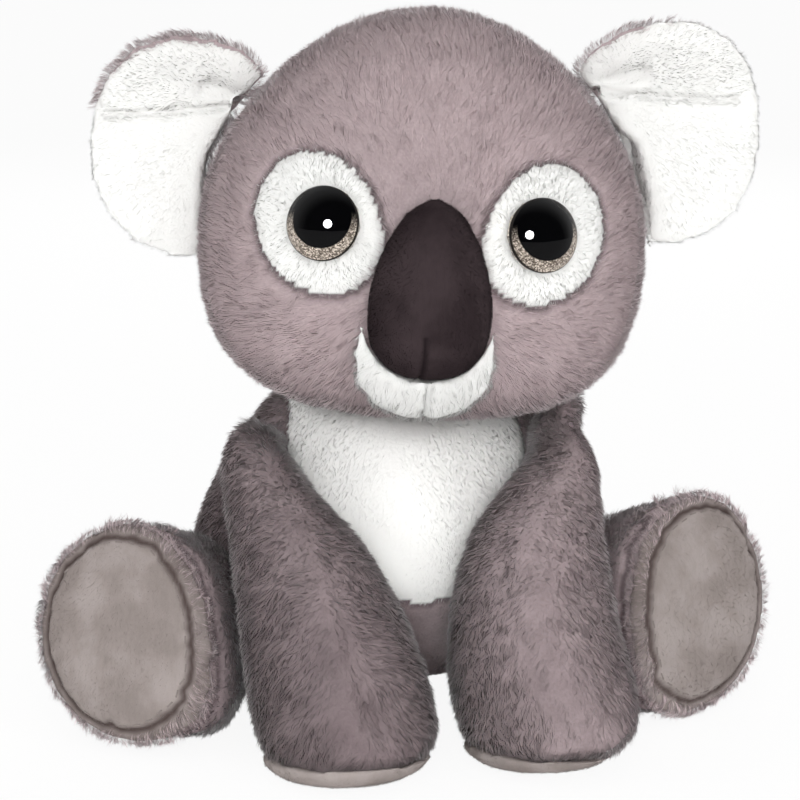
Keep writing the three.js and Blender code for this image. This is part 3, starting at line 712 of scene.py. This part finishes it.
def fibre_mesh(name, corners, shading, tint):
    """Mesh of the blades: two triangles each, from the root to the wide middle and on to the tip."""
    count = len(corners)
    mesh = bpy.data.meshes.new(name)
    mesh.vertices.add(4 * count)
    mesh.vertices.foreach_set("co", corners.astype(np.float32).ravel())
    loops = (4 * np.arange(count)[:, None] + np.array([[0, 1, 2, 2, 1, 3]])).ravel()
    mesh.loops.add(len(loops))
    mesh.loops.foreach_set("vertex_index", loops.astype(np.int32))
    mesh.polygons.add(2 * count)
    mesh.polygons.foreach_set("loop_start", (3 * np.arange(2 * count)).astype(np.int32))
    mesh.update(calc_edges=True)
    mesh.polygons.foreach_set("use_smooth", np.ones(2 * count, bool))
    along = np.array([0, 0.5, 0.5, 0.5, 0.5, 1])
    beside = np.array([0, 1, -1, -1, 1, 0]) * UV_HALF_WIDTH
    uv = np.stack((tint[:, None] + beside[None, :], np.repeat(along[None, :], count, axis=0)), axis=2)
    for title in ("fibre", "OFBake"):
        layer = mesh.uv_layers.new(name=title)
        layer.uv.foreach_set("vector", uv.astype(np.float32).ravel())
    layer = mesh.attributes.new("custom_normal", "FLOAT_VECTOR", "POINT")
    layer.data.foreach_set("vector", shading.astype(np.float32).ravel())
    return linked(name, mesh)


def grow(name, body, pile, roots, normals, flow, tint, trim=1.0):
    """Pile pieces of one panel, few enough fibres in each, cut from front to back."""
    corners, shading, tint = fibres(roots, normals, flow, tint, pile, trim)
    parts = max(1, math.ceil(len(roots) / MOST_FIBRES))
    ranked = np.argsort(roots[:, 1])
    for number, chosen in enumerate(np.array_split(ranked, parts), 1):
        title = f"{name}_{number}" if parts > 1 else name
        piece = fibre_mesh(title, corners[chosen], shading[chosen], tint[chosen])
        piece.data.materials.append(FIBRES[pile["slot"]])
        ride(piece, body)


SOFT_PIECES = {}


def ride(piece, body):
    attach(piece, body)
    SOFT_PIECES.setdefault(body, []).append(piece)


def dress(piece, body, slot, replaced):
    """Makes a stuffed form part of a body, in place of the CAD nodes that it was made from."""
    piece.data.materials.append(BACKINGS[slot])
    ride(piece, body)
    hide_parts(*replaced)


def centre_of(node):
    low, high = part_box(node)
    return (np.array(low) + np.array(high)) / 2


def head_flow(places, normals):
    """Away from the nose over the face, and down the back of the head."""
    away = unit(places - centre_of("nose_cover"))
    behind = np.clip((places[:, 1] - centre_of("head_cover")[1]) / (60 * MM), 0, 1)[:, None]
    return along_surface(away * (1 - behind) + (away * 0.4 + DOWN) * behind, normals)


def down_flow(places, normals):
    return along_surface(np.repeat(DOWN[None, :], len(places), axis=0), normals)


# Front seams of the arms: places across at heights, in millimetres, and how far the flow parts there
ARM_SEAMS = {
    "left": ((24, 40), (73, 27), (104, 37)),
    "right": ((24, -27), (63, -39), (112, -42)),
}
ARM_PARTINGS = {"left": -0.3, "right": 0.55}
ARM_FORWARD = 0.35


def arm_seam(side, heights):
    """Distance across of the front seam of an arm at the given heights."""
    table = np.array(ARM_SEAMS[side]) * MM
    return np.interp(heights, table[:, 0], table[:, 1])


def arm_flow(side, places, normals):
    """Down the arm, parted at its front seam."""
    ways = np.repeat(DOWN[None, :], len(places), axis=0)
    across = places[:, 0] - arm_seam(side, places[:, 2])
    ways[:, 0] += np.clip(across / (8 * MM), -1, 1) * ARM_PARTINGS[side]
    ways[:, 1] -= ARM_FORWARD
    return along_surface(ways, normals)


def sole_way(side):
    """Way that the sole of a foot faces: the way in which its pad is thinnest."""
    places = points_of(frame["nodes"][f"sole_pad_{side}"])
    way = np.linalg.svd(places - places.mean(axis=0), full_matrices=False)[2][2]
    return way * np.sign(way @ (centre_of(f"sole_pad_{side}") - centre_of(f"leg_stuffing_{side}")))


def leg_flow(side, places, normals):
    """Along the leg to the foot, and over its rim towards the sole's pad."""
    way = sole_way(side)
    outward = places - centre_of(f"sole_pad_{side}")
    outward = unit(outward - np.outer(outward @ way, way))
    return along_surface(way - 0.5 * outward + 0.2 * DOWN, normals)


def near_bridge(places):
    """1 at the top of the nose, and less further away from it."""
    low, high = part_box("nose_cover")
    bridge = np.array([(low[0] + high[0]) / 2, low[1], high[2]])
    return np.exp(-(np.linalg.norm(places - bridge, axis=1) / (34 * MM)) ** 2)


# Tints: 0.56 gives a pile its own colours and less is darker. Each has a level, and the size and height
# of the soft waves over it.
TINTS = {
    "head": (0.58, (30 * MM, 0.03), (9 * MM, 0.025)),
    # Next: a low level that paints shade over the body, arms and legs; it is lifted again at the back
    "painted_shade": (0.29, (30 * MM, 0.02), (9 * MM, 0.014)),
    "rim": (0.60, (20 * MM, 0.04), (6 * MM, 0.03)),
    "white": (0.45, (20 * MM, 0.005)),
    "chest": (0.56, (20 * MM, 0.005)),
    "nose": (0.52, (12 * MM, 0.03)),
}


def tinted(kind, places):
    level, *layers = TINTS[kind]
    return level + sum(height * waves(places, size) for size, height in layers)


def grey_tint(places):
    """Grey of the head and the ears, a little darker round the top of the nose."""
    return tinted("head", places) - 0.32 * near_bridge(places)


def painted_shade_tint(places):
    """Uneven grey with painted shade at the front and lower down, and painted light on the koala's left."""
    sides = np.clip(places[:, 0] / (40 * MM), -1, 1)
    low = np.clip((100 * MM - places[:, 2]) / (60 * MM), 0, 1)
    behind = np.clip(places[:, 1] / (40 * MM), 0, 1)
    # Painted light and shade: lighter on the koala's left as if lit from there, darker at the front and lower
    # down as if shaded by the head
    return tinted("painted_shade", places) + 0.055 * sides - 0.10 * low * (1 - behind) + 0.18 * behind


def brushed_tint(places):
    brushed = np.clip(2.2 * waves(places, 34 * MM), -1, 1)
    return 0.55 + 0.05 * brushed + 0.02 * waves(places, 10 * MM)


def shade_backing(piece):
    """Darkens a form's backing with the same painted shade as its pile, on top of the painted shade in its
    seams.
    """
    add_shade_and_dark(piece, np.clip(1 - 2.3 * painted_shade_tint(points_of(piece)), 0, 1))


# How white the backing is under the short pile of the face and the ears
FACE_WHITE = 0.85


def white_mask(piece, nodes, owner, white, share=1.0):
    """Marks the form's points under white panels, for its backing."""
    mark(piece, "white_share", share * np.isin(owner, [nodes.index(node) for node in white]))


def make_head():
    nodes = ["head_cover", "eye_patch_left", "eye_patch_right"]
    head = stuffed("head_form", nodes + ["head_stuffing"], **PLUSH)
    owner = nearest_node(points_of(head), nodes)
    sew(head, owner, 2.2 * MM, 1.0 * MM)
    add_shade_and_dark(head, 0.5 * near_bridge(points_of(head)))
    white_mask(head, nodes, owner, nodes[1:], FACE_WHITE)
    dress(head, "head", "grey_plush", nodes + ["head_stuffing"])
    sewn_on = ["nose_cover", "muzzle_patch", "eye_dome_left", "eye_dome_right"]
    (roots, normals), *patches = panels(head, nodes, owner, FACE_PILE, sewn_on, 1.0 * MM)
    ears = [f"ear_{layer}_{side}" for layer in ("front", "back") for side, _ in SIDES]
    bare = clear_of(roots, ears, 1.5 * MM)
    roots, normals = roots[bare], normals[bare]
    grow("head_pile", "head", FACE_PILE, roots, normals, head_flow(roots, normals), grey_tint(roots))
    for (side, _), (roots, normals) in zip(SIDES, patches):
        flow = along_surface(roots - centre_of(f"eye_dome_{side}"), normals)
        grow(f"eye_patch_pile_{side}", "head", WHITE_PILE, roots, normals, flow, tinted("white", roots))


# The seat's nap starts above the edge that it rests on, and has fewer and wider fibres
SEAT_RIM = 2.5 * MM
SEAT_THINNING = 2


def make_torso():
    nodes = ["body_cover", "belly_panel", "seat_panel"]
    torso = stuffed("torso_form", nodes + ["body_stuffing"], **PLUSH)
    owner = nearest_node(points_of(torso), nodes)
    sew(torso, owner, 2.2 * MM, 1.0 * MM)
    shade_backing(torso)
    white_mask(torso, nodes, owner, nodes[1:2])
    dress(torso, "torso", "grey_plush", nodes + ["body_stuffing"])
    beside = [f"{limb}_cover_{side}" for limb in ("arm", "leg") for side, _ in SIDES] + ["head_cover"]
    grey, white, seat = panels(torso, nodes, owner, BODY_PILE, beside, 0.8 * MM)
    seat = tuple(part[seat[0][:, 2] > SEAT_RIM][::SEAT_THINNING] for part in seat)
    roots, normals = grey
    grow("body_pile", "torso", BODY_PILE, roots, normals, down_flow(roots, normals), painted_shade_tint(roots))
    roots, normals = white
    grow("belly_pile", "torso", WHITE_PILE, roots, normals, down_flow(roots, normals), tinted("chest", roots))
    roots, normals = seat
    grow("seat_nap", "torso", SEAT_NAP, roots, normals, down_flow(roots, normals), brushed_tint(roots))


def make_bead_pouch():
    pouch = stuffed("bead_pouch_form", ["bean_pouch"], **POUCH)
    lumps = waves(points_of(pouch), 5 * MM)[:, None]
    move_points(pouch, points_of(pouch) + normals_of(pouch) * lumps * 0.4 * MM)
    dress(pouch, "torso", "bead_cloth", ["bean_pouch"])


# The nose's seam is short, at its lower end, and beside its middle
NOSE_SEAM_ASIDE = 5.6 * MM
NOSE_SEAM_DROP = 6 * MM


def make_nose():
    nodes = ["nose_cover", "nose_stuffing"]
    nose = stuffed("nose_form", nodes, **NOSE)
    places = points_of(nose)
    middle = centre_of("nose_cover")
    across = np.abs(places[:, 0] - middle[0] + NOSE_SEAM_ASIDE)
    lower = np.clip((middle[2] - NOSE_SEAM_DROP - places[:, 2]) / (8 * MM), 0, 1)
    pull_in(nose, across + (1 - lower) * 0.1, 0.8 * MM, 1.0 * MM)
    dress(nose, "head", "nose_velour", nodes)
    roots, normals, _ = scattered(nose, NOSE_NAP["density"])
    grow("nose_nap", "head", NOSE_NAP, roots, normals, down_flow(roots, normals), tinted("nose", roots))


def make_muzzle():
    nodes = ["muzzle_patch"]
    muzzle = stuffed("muzzle_form", nodes, **MUZZLE)
    places = points_of(muzzle)
    middle = centre_of("nose_cover")
    pull_in(muzzle, np.abs(places[:, 0] - middle[0]), 1.6 * MM, 1.2 * MM)
    owner = np.zeros(len(places), np.int32)
    white_mask(muzzle, nodes, owner, nodes, FACE_WHITE)
    dress(muzzle, "head", "white_plush", nodes)
    (roots, normals), = panels(muzzle, nodes, owner, MUZZLE_PILE, ["nose_cover", "head_cover"], 0.6 * MM)
    flow = along_surface(roots - middle + DOWN * 10 * MM, normals)
    grow("muzzle_pile", "head", MUZZLE_PILE, roots, normals, flow, tinted("white", roots))


# Rims of the ears: the turns from outward over the top, in degrees, where the grey back laps over, and
# how far it and the white front lap over the seam there, elsewhere and beside the head
GREY_RIMS = {"left": (98, 172), "right": (22, 172)}
GREY_LAP = 2.6 * MM
WHITE_LAP = 4.0 * MM
HEAD_LAP = 2 * MM
BESIDE_HEAD = 120
HEAD_GAP = 2.5 * MM

# Creases of the ears' fronts, in millimetres outward from the inner edge and up from the fold: one end,
# the other end, width and depth
FOLD_RISE = 15 * MM
FLOW_RISE = 14 * MM
CREASES = (
    ((10, 0), (66, -3), 1.6, 2.4),
    ((22, -22), (30, -62), 5.0, 2.6),
    ((14, 4), (26, 8), 4.0, 3.0),
)


def rim_lap(side, places):
    """How far from its seam the ear's white front starts. Below 0 it laps over onto the back."""
    sign = dict(SIDES)[side]
    middle = centre_of(f"ear_front_{side}")
    turns = np.degrees(np.arctan2(places[:, 2] - middle[2], sign * (places[:, 0] - middle[0])))
    first, last = GREY_RIMS[side]
    ragged = turns + 5 * waves(places, 8 * MM)
    grey = np.clip((ragged - first) / 8, 0, 1) * np.clip((last - ragged) / 8, 0, 1)
    white = np.where((np.abs(turns) > BESIDE_HEAD) & (grey == 0), HEAD_LAP, WHITE_LAP)
    return grey * (GREY_LAP + white) - white


def ear_creases(side):
    """Ends, width and depth of each crease, in place on the ear."""
    low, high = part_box(f"ear_front_{side}")
    sign = dict(SIDES)[side]
    inner = low[0] if sign > 0 else high[0]
    fold = (low[2] + high[2]) / 2 + FOLD_RISE
    for start, end, width, depth in CREASES:
        ends = [(inner + sign * across * MM, fold + rise * MM) for across, rise in (start, end)]
        yield ends, width * MM, depth * MM


def away_from_line(places, start, end):
    """Distance of each place from a straight crease, seen from the front."""
    flat = places[:, (0, 2)]
    line = np.array(end) - np.array(start)
    share = np.clip((flat - start) @ line / (line @ line), 0, 1)
    return np.linalg.norm(flat - start - share[:, None] * line, axis=1)


def ear_flow(side, places, normals):
    """Away from the inner end of the ear's fold."""
    low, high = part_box(f"ear_front_{side}")
    start = np.array(next(j["pos_m"] for j in frame["joints"] if j["name"] == f"ear_{side}"))
    start[2] = (low[2] + high[2]) / 2 + FLOW_RISE
    ways = unit(places - start)
    ways[:, 1] *= 0.4
    return along_surface(ways, normals)


def make_ear(side):
    nodes = [f"ear_front_{side}", f"ear_back_{side}"]
    body = f"ear_{side}"
    ear = stuffed(f"ear_form_{side}", nodes + [f"ear_wadding_{side}"], **EAR)
    owner = nearest_node(points_of(ear), nodes)
    behind = (normals_of(ear)[:, 1] > 0) * 0.1
    for (start, end), width, depth in ear_creases(side):
        pull_in(ear, away_from_line(points_of(ear), start, end) + behind, width, depth)
    mark(ear, "shade_and_dark_share", np.zeros(len(owner)))
    seam = seam_tree(ear, owner)
    places = points_of(ear)
    ahead = away_from(seam, places) * np.where(owner == 0, 1, -1)
    white = (ahead > rim_lap(side, places) - 2 * MM) & clear_of(places, ["head_cover"], HEAD_GAP)
    mark(ear, "white_share", FACE_WHITE * white)
    dress(ear, body, "white_plush", nodes + [f"ear_wadding_{side}"])
    both = panels(ear, nodes, owner, FACE_PILE, ["head_cover"], HEAD_GAP)
    roots, normals = (np.concatenate(parts) for parts in zip(*both))
    ahead = away_from(seam, roots)
    ahead[len(both[0][0]):] *= -1
    front = ahead > rim_lap(side, roots)
    thinned = front & (random.uniform(size=len(roots)) < WHITE_PILE["density"] / FACE_PILE["density"])
    flow = ear_flow(side, roots, normals)
    grow(f"ear_front_pile_{side}", body, WHITE_PILE, roots[thinned], normals[thinned], flow[thinned],
         tinted("white", roots[thinned]))
    grow(f"ear_back_pile_{side}", body, FACE_PILE, roots[~front], normals[~front], flow[~front],
         grey_tint(roots[~front]))


def make_arm(side):
    nodes = [f"arm_cover_{side}", f"paw_pad_{side}"]
    body = f"arm_{side}"
    arm = stuffed(f"arm_form_{side}", nodes + [f"arm_stuffing_{side}"], **PLUSH)
    owner = nearest_node(points_of(arm), nodes)
    sew(arm, owner, 2.0 * MM, 1.0 * MM)
    places = points_of(arm)
    behind = np.clip((places[:, 1] - centre_of(nodes[0])[1] + 10 * MM) / (20 * MM), 0, 1)
    away = np.abs(places[:, 0] - arm_seam(side, places[:, 2])) + behind * 0.1
    pull_in(arm, away, 2.0 * MM, 0.6 * MM)
    mark(arm, "shade_and_dark_share", np.zeros(len(away)))
    shade_backing(arm)
    white_mask(arm, nodes, owner, [])
    dress(arm, body, "grey_plush", [nodes[0], f"arm_stuffing_{side}"])
    beside = [nodes[1], "body_cover", "belly_panel", "head_cover"]
    roots, normals = panels(arm, nodes, owner, BODY_PILE, beside, 0.5 * MM)[0]
    grow(f"arm_pile_{side}", body, BODY_PILE, roots, normals, arm_flow(side, roots, normals),
         painted_shade_tint(roots))
    make_paw_pad(side)


def make_leg(side):
    nodes = [f"leg_cover_{side}", f"sole_pad_{side}"]
    body = f"leg_{side}"
    leg = stuffed(f"leg_form_{side}", nodes + [f"leg_stuffing_{side}"], **PLUSH)
    owner = nearest_node(points_of(leg), nodes)
    seam = seam_tree(leg, owner)
    sew(leg, owner, 2.0 * MM, 1.2 * MM)
    shade_backing(leg)
    white_mask(leg, nodes, owner, [])
    dress(leg, body, "grey_plush", [nodes[0], f"leg_stuffing_{side}"])
    beside = [nodes[1], "body_cover", "seat_panel", f"arm_cover_{side}"]
    roots, normals = panels(leg, nodes, owner, BODY_PILE, beside, 0.7 * MM)[0]
    trim = np.clip(away_from(seam, roots) / (5 * MM), 0.6, 1)
    grow(f"leg_pile_{side}", body, BODY_PILE, roots, normals, leg_flow(side, roots, normals),
         painted_shade_tint(roots), trim)
    make_sole(side)


def velour_pad(name, node, body):
    """Velour pad of a paw or a foot, crowned and rounded down to its seam."""
    pad = stuffed(name, [node], **PAD)
    mark(pad, "shade_and_dark_share", np.zeros(len(pad.data.vertices)))
    dress(pad, body, "sole_velour", [node])
    return pad


def velour_nap(name, body, roots, normals):
    flow = along_surface(np.array([[0.0, -0.3, -1.0]]), normals)
    grow(name, body, SOLE_NAP, roots, normals, flow, brushed_tint(roots))


def outer_roots(pad, node, pile):
    roots, normals, _ = scattered(pad, pile["density"])
    outer = np.sum(normals * (roots - centre_of(node)), axis=1) > -1 * MM
    return roots[outer], normals[outer]


def make_paw_pad(side):
    node = f"paw_pad_{side}"
    body = f"arm_{side}"
    pad = velour_pad(f"paw_pad_form_{side}", node, body)
    velour_nap(f"paw_pad_nap_{side}", body, *outer_roots(pad, node, SOLE_NAP))


# How far the pile round a sole laps over the pad's rim, on the outer side and beside the body, and the
# groove there. Each of the rim's steps looks for its edge within a window, in radians.
OUTER_LAP = 4.2 * MM
INNER_LAP = 6.0 * MM
PAD_GROOVE = 1.3 * MM
RIM_STEPS = 72
RIM_WINDOW = 0.08


class Rim:
    """Outline of a pad round the way that it faces, and the line where its velour starts."""

    def __init__(self, pad, node, way):
        self.middle = centre_of(node)
        self.way = way
        self.across = unit(np.cross(way, DOWN))
        self.rise = np.cross(self.across, way)
        turns, reach = self.polar(points_of(pad))
        self.turns = np.linspace(-math.pi, math.pi, RIM_STEPS, endpoint=False)
        self.reach = []
        for turn in self.turns:
            near = np.abs((turns - turn + math.pi) % (2 * math.pi) - math.pi) < RIM_WINDOW
            self.reach.append(reach[near].max())
        self.inner_side = np.sign(self.across[0] * -self.middle[0])

    def polar(self, places):
        local = places - self.middle
        across, rise = local @ self.across, local @ self.rise
        return np.arctan2(rise, across), np.hypot(rise, across)

    def line_reach(self, turns):
        """Distance of the line from the middle at the given turns."""
        beside = np.clip(0.5 + 0.5 * np.cos(turns) * self.inner_side, 0, 1)
        lap = OUTER_LAP + (INNER_LAP - OUTER_LAP) * beside
        return np.interp(turns, self.turns, self.reach, period=2 * math.pi) - lap

    def inward(self, places):
        """How far inside the line each place lies."""
        turns, reach = self.polar(places)
        return self.line_reach(turns) - reach

    def line(self, pad, count):
        """Places on the pad along the line."""
        turns = np.linspace(-math.pi, math.pi, count, endpoint=False)
        outward = np.outer(np.cos(turns), self.across) + np.outer(np.sin(turns), self.rise)
        places = self.middle + self.line_reach(turns)[:, None] * outward + self.way * 12 * MM
        return np.array([pad.closest_point_on_mesh(place)[1] for place in places])


def make_sole(side):
    """Sole with the leg's pile lapped over its rim, as far as its stitched groove."""
    node = f"sole_pad_{side}"
    body = f"leg_{side}"
    pad = velour_pad(f"sole_pad_form_{side}", node, body)
    rim = Rim(pad, node, sole_way(side))
    places = points_of(pad)
    inward = rim.inward(places) + 0.3 * MM * waves(places, 6 * MM)
    pull_in(pad, inward, PAD_GROOVE, 1.3 * MM)
    # Painted shade on the pad under the band of pile that laps over its rim
    add_shade_and_dark(pad, 0.2 * (inward < 0))
    roots, normals = outer_roots(pad, node, SOLE_NAP)
    inside = rim.inward(roots) > PAD_GROOVE
    velour_nap(f"sole_nap_{side}", body, roots[inside], normals[inside])
    roots, normals = outer_roots(pad, node, RIM_PILE)
    band = rim.inward(roots) < -0.3 * PAD_GROOVE
    roots, normals = roots[band], normals[band]
    flow = along_surface(roots - centre_of(node), normals)
    grow(f"sole_rim_pile_{side}", body, RIM_PILE, roots, normals, flow, tinted("rim", roots))
    make_stitches(side, rim.line(pad, SEAM_POINTS), body)


# Stitches of the seam round a sole
STITCH_LENGTH = 2.8 * MM
STITCH_PITCH = 5.0 * MM
STITCH_RADIUS = 0.28 * MM
SEAM_POINTS = 90


def make_stitches(side, loop, body):
    """Thread that shows as short stitches in the groove round a sole."""
    closed = np.vstack((loop, loop[:1]))
    steps = np.linalg.norm(np.diff(closed, axis=0), axis=1)
    reach = np.concatenate(([0], np.cumsum(steps)))
    count = int(reach[-1] / STITCH_PITCH)

    def on_loop(distance):
        return np.array([np.interp(distance, reach, closed[:, axis]) for axis in range(3)])

    deselect()
    size = {"radius": STITCH_RADIUS, "depth": STITCH_LENGTH}
    bpy.ops.mesh.primitive_cylinder_add(vertices=8, location=(0, 0, 0), **size)
    stitch = bpy.context.object
    edit_all()
    bpy.ops.mesh.bevel(offset=STITCH_RADIUS * 0.55, segments=2, affect="EDGES", clamp_overlap=True)
    bpy.ops.object.mode_set(mode="OBJECT")
    copies = [linked(stitch.name, stitch.data.copy()) for _ in range(count - 1)] + [stitch]
    for number, copy in enumerate(copies):
        middle = reach[-1] * (number + 0.5) / count
        place = on_loop(middle)
        copy.data.transform(facing(place, on_loop((middle + MM) % reach[-1]) - place))
    select(*copies)
    bpy.ops.object.join()
    thread = bpy.context.object
    thread.name = f"sole_stitches_{side}"
    bpy.ops.object.shade_smooth()
    thread.data.materials.append(seam_thread)
    ride(thread, body)


def make_eye(side, material):
    """Smooth dome over the glitter disc, turned about the axis that its CAD solids share."""
    node = f"eye_dome_{side}"
    corners = points_of(frame["nodes"][node])
    centre = corners.mean(axis=0)
    way = unit(centre - points_of(frame["nodes"][f"eye_washer_{side}"]).mean(axis=0))
    heights = corners @ way
    middle = centre + way * (heights.min() - centre @ way)
    outward = corners - middle
    radius = np.linalg.norm(outward - np.outer(outward @ way, way), axis=1).max()
    height = heights.max() - heights.min()
    rim = height * DOME_RIM_SHARE
    deselect()
    size = {"vertices": DOME_SPOKES, "radius": radius}
    bpy.ops.mesh.primitive_circle_add(location=(0, 0, 0), fill_type="NGON", **size)
    dome = bpy.context.object
    dome.name = f"dome_{side}"
    edit_all()
    bpy.ops.mesh.extrude_region_move(TRANSFORM_OT_translate={"value": (0, 0, rim)})
    reach, level = radius, rim
    cap = height - rim
    ball = (radius ** 2 + cap ** 2) / (2 * cap)
    edge = math.asin(radius / ball)
    for ring in range(1, DOME_RINGS):
        turn = edge * (1 - ring / DOME_RINGS)
        next_reach = ball * math.sin(turn)
        next_level = height - ball * (1 - math.cos(turn))
        bpy.ops.mesh.extrude_region_move(TRANSFORM_OT_translate={"value": (0, 0, next_level - level)})
        bpy.ops.transform.resize(value=(next_reach / reach, next_reach / reach, 1))
        reach, level = next_reach, next_level
    bpy.ops.mesh.extrude_region_move(TRANSFORM_OT_translate={"value": (0, 0, height - level)})
    bpy.ops.mesh.merge(type="CENTER")
    bpy.ops.mesh.select_all(action="SELECT")
    bpy.ops.mesh.normals_make_consistent(inside=False)
    bpy.ops.object.mode_set(mode="OBJECT")
    bpy.ops.object.shade_smooth_by_angle(angle=DOME_SMOOTH_ANGLE)
    local = points_of(dome)
    inward = -1 if side == "left" else 1
    loops = np.empty(len(dome.data.loops), np.int32)
    dome.data.loops.foreach_get("vertex_index", loops)
    iris = np.stack((local[loops, 0] * inward, local[loops, 1]), axis=1) / radius
    dome.data.uv_layers.new(name="iris").uv.foreach_set("vector", iris.astype(np.float32).ravel())
    across = unit(np.cross(-DOWN, way))
    move_points(dome, middle + local @ np.stack((across, np.cross(way, across), way)))
    dome.data.materials.append(material)
    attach(dome, "head")
    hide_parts(node)


def finish_eye_hardware():
    """Finishes of the CAD solids behind the eyes, which stay as they are."""
    for kind, material in (("disc", glitter_finish()), ("washer", washer_finish())):
        for side, _ in SIDES:
            for slot in frame["nodes"][f"eye_{kind}_{side}"].material_slots:
                slot.material = material


# Places where a body is drawn or pushed after sewing, each with its shift and its reach, in millimetres
GRABS = {
    "arm_left": (
        ((72, -36, 118), (-8, 0, -3), 18),
        ((46, -50, 106), (11, 5, 0), 22),
        ((54, -125, 12), (9, -9, 0), 30),
    ),
    "arm_right": (
        ((-66, -16, 119), (15, -2, -9), 15),
        ((-38, -60, 104), (-4, 3, 0), 16),
        ((-24, -110, 12), (3, -5, 0), 26),
    ),
    "leg_left": (((96, -66, 12), (-7, -10, -4), 27), ((136, -60, 92), (3, 0, 4), 28)),
    "leg_right": (
        ((-84, -66, 12), (8, -11, -4), 28),
        ((-126, -85, 92), (-1, 0, 3), 30),
        ((-152, -80, 46), (-3, 0, 0), 34),
        ((-126, -92, 4), (-3, -8, 0), 30),
    ),
    "torso": (((2, -62, 92), (0, -5, 0), 30),),
    "ear_left": (((104, -12, 196), (-7, 4, 0), 24),),
    "ear_right": (((-88, -4, 198), (7, 4, 0), 24),),
}


def sculpt():
    """Draws each listed body into the last form, with all that is sewn to it."""
    for body, grabs in GRABS.items():
        for piece in SOFT_PIECES[body]:
            places = points_of(piece)
            for place, shift, reach in grabs:
                away = np.linalg.norm(places - np.array(place) * MM, axis=1)
                places += np.exp(-(away / (reach * MM)) ** 2)[:, None] * np.array(shift) * MM
            places[:, 2] = np.maximum(places[:, 2], FLOOR_GAP)
            move_points(piece, places)


def make_studio():
    back = Vector((
        math.sin(CAMERA_AZIMUTH) * math.cos(CAMERA_RISE),
        -math.cos(CAMERA_AZIMUTH) * math.cos(CAMERA_RISE),
        math.sin(CAMERA_RISE),
    ))
    data = bpy.data.cameras.new("camera")
    data.lens = CAMERA_LENS
    data.sensor_width = CAMERA_SENSOR
    data.clip_start = 0.05
    camera = linked("camera", data)
    camera.matrix_world = facing(CAMERA_TARGET + back * CAMERA_DISTANCE, back)
    bpy.context.scene.camera = camera
    make_floor()
    make_world()
    for name, (shape, size, power, reach, place) in LAMPS.items():
        start = CAMERA_TARGET + back * reach if reach else Vector()
        lamp(name, shape, size, power, start + Vector(place))


def lamp(name, shape, size, power, place):
    """Soft lamp that faces the koala. Only the one named glint shows in the eyes, and it lights nothing."""
    data = bpy.data.lights.new(name, "AREA")
    data.shape = shape
    data.size = size
    data.energy = power
    light = linked(name, data)
    light.matrix_world = facing(place, place - CAMERA_TARGET)
    light.visible_glossy = name == "glint"
    light.visible_diffuse = name != "glint"


def make_floor():
    """Floor that takes shadows and glows as bright as the background where it is seen."""
    deselect()
    bpy.ops.mesh.primitive_plane_add(size=FLOOR_SIZE, location=(0, 0, 0))
    floor = bpy.context.object
    floor.name = "floor"
    finish = Finish("floor", Roughness=0.9, Specular_IOR_Level=0.1)
    finish.set("Base Color", linear(FLOOR_COLOUR))
    seen = finish.ray("Camera") + finish.ray("Glossy") + finish.ray("Transmission")
    plain = Value(finish.tree, finish.shader.outputs[0])
    glow = finish.node("ShaderNodeEmission", inputs={"Strength": 1.0})
    blend = finish.node("ShaderNodeMixShader", inputs={0: seen * FLOOR_GLOW, 1: plain, 2: glow})
    feed(finish.tree, finish.tree.nodes["Material Output"].inputs["Surface"], blend)
    floor.data.materials.append(finish.material)


def make_world():
    """White where the background shows, dark like a studio behind the camera, and a plain soft light."""
    world = bpy.data.worlds.new("studio")
    bpy.context.scene.world = world
    world.use_nodes = True
    nodes = Nodes(world.node_tree)
    ahead = nodes.parts(nodes.node("ShaderNodeTexCoord", output="Generated"))[1]
    behind = nodes.node("ShaderNodeMapRange", inputs={"Value": ahead, "From Min": -0.3, "From Max": 0.2})
    seen = nodes.ray("Camera") + nodes.ray("Transmission")
    mirrored = nodes.ray("Glossy")
    background = world.node_tree.nodes["Background"]
    background.inputs["Color"].default_value = (1, 1, 1, 1)
    light = seen + mirrored * behind + (1 - seen - mirrored) * WORLD_LIGHT
    feed(world.node_tree, background.inputs["Strength"], light)


bpy.context.scene.view_settings.view_transform = "Standard"
make_studio()
make_head()
make_torso()
make_bead_pouch()
make_nose()
make_muzzle()
eye_dome = eye_finish()
for side, _ in SIDES:
    make_ear(side)
    make_arm(side)
    make_leg(side)
    make_eye(side, eye_dome)
finish_eye_hardware()
sculpt()
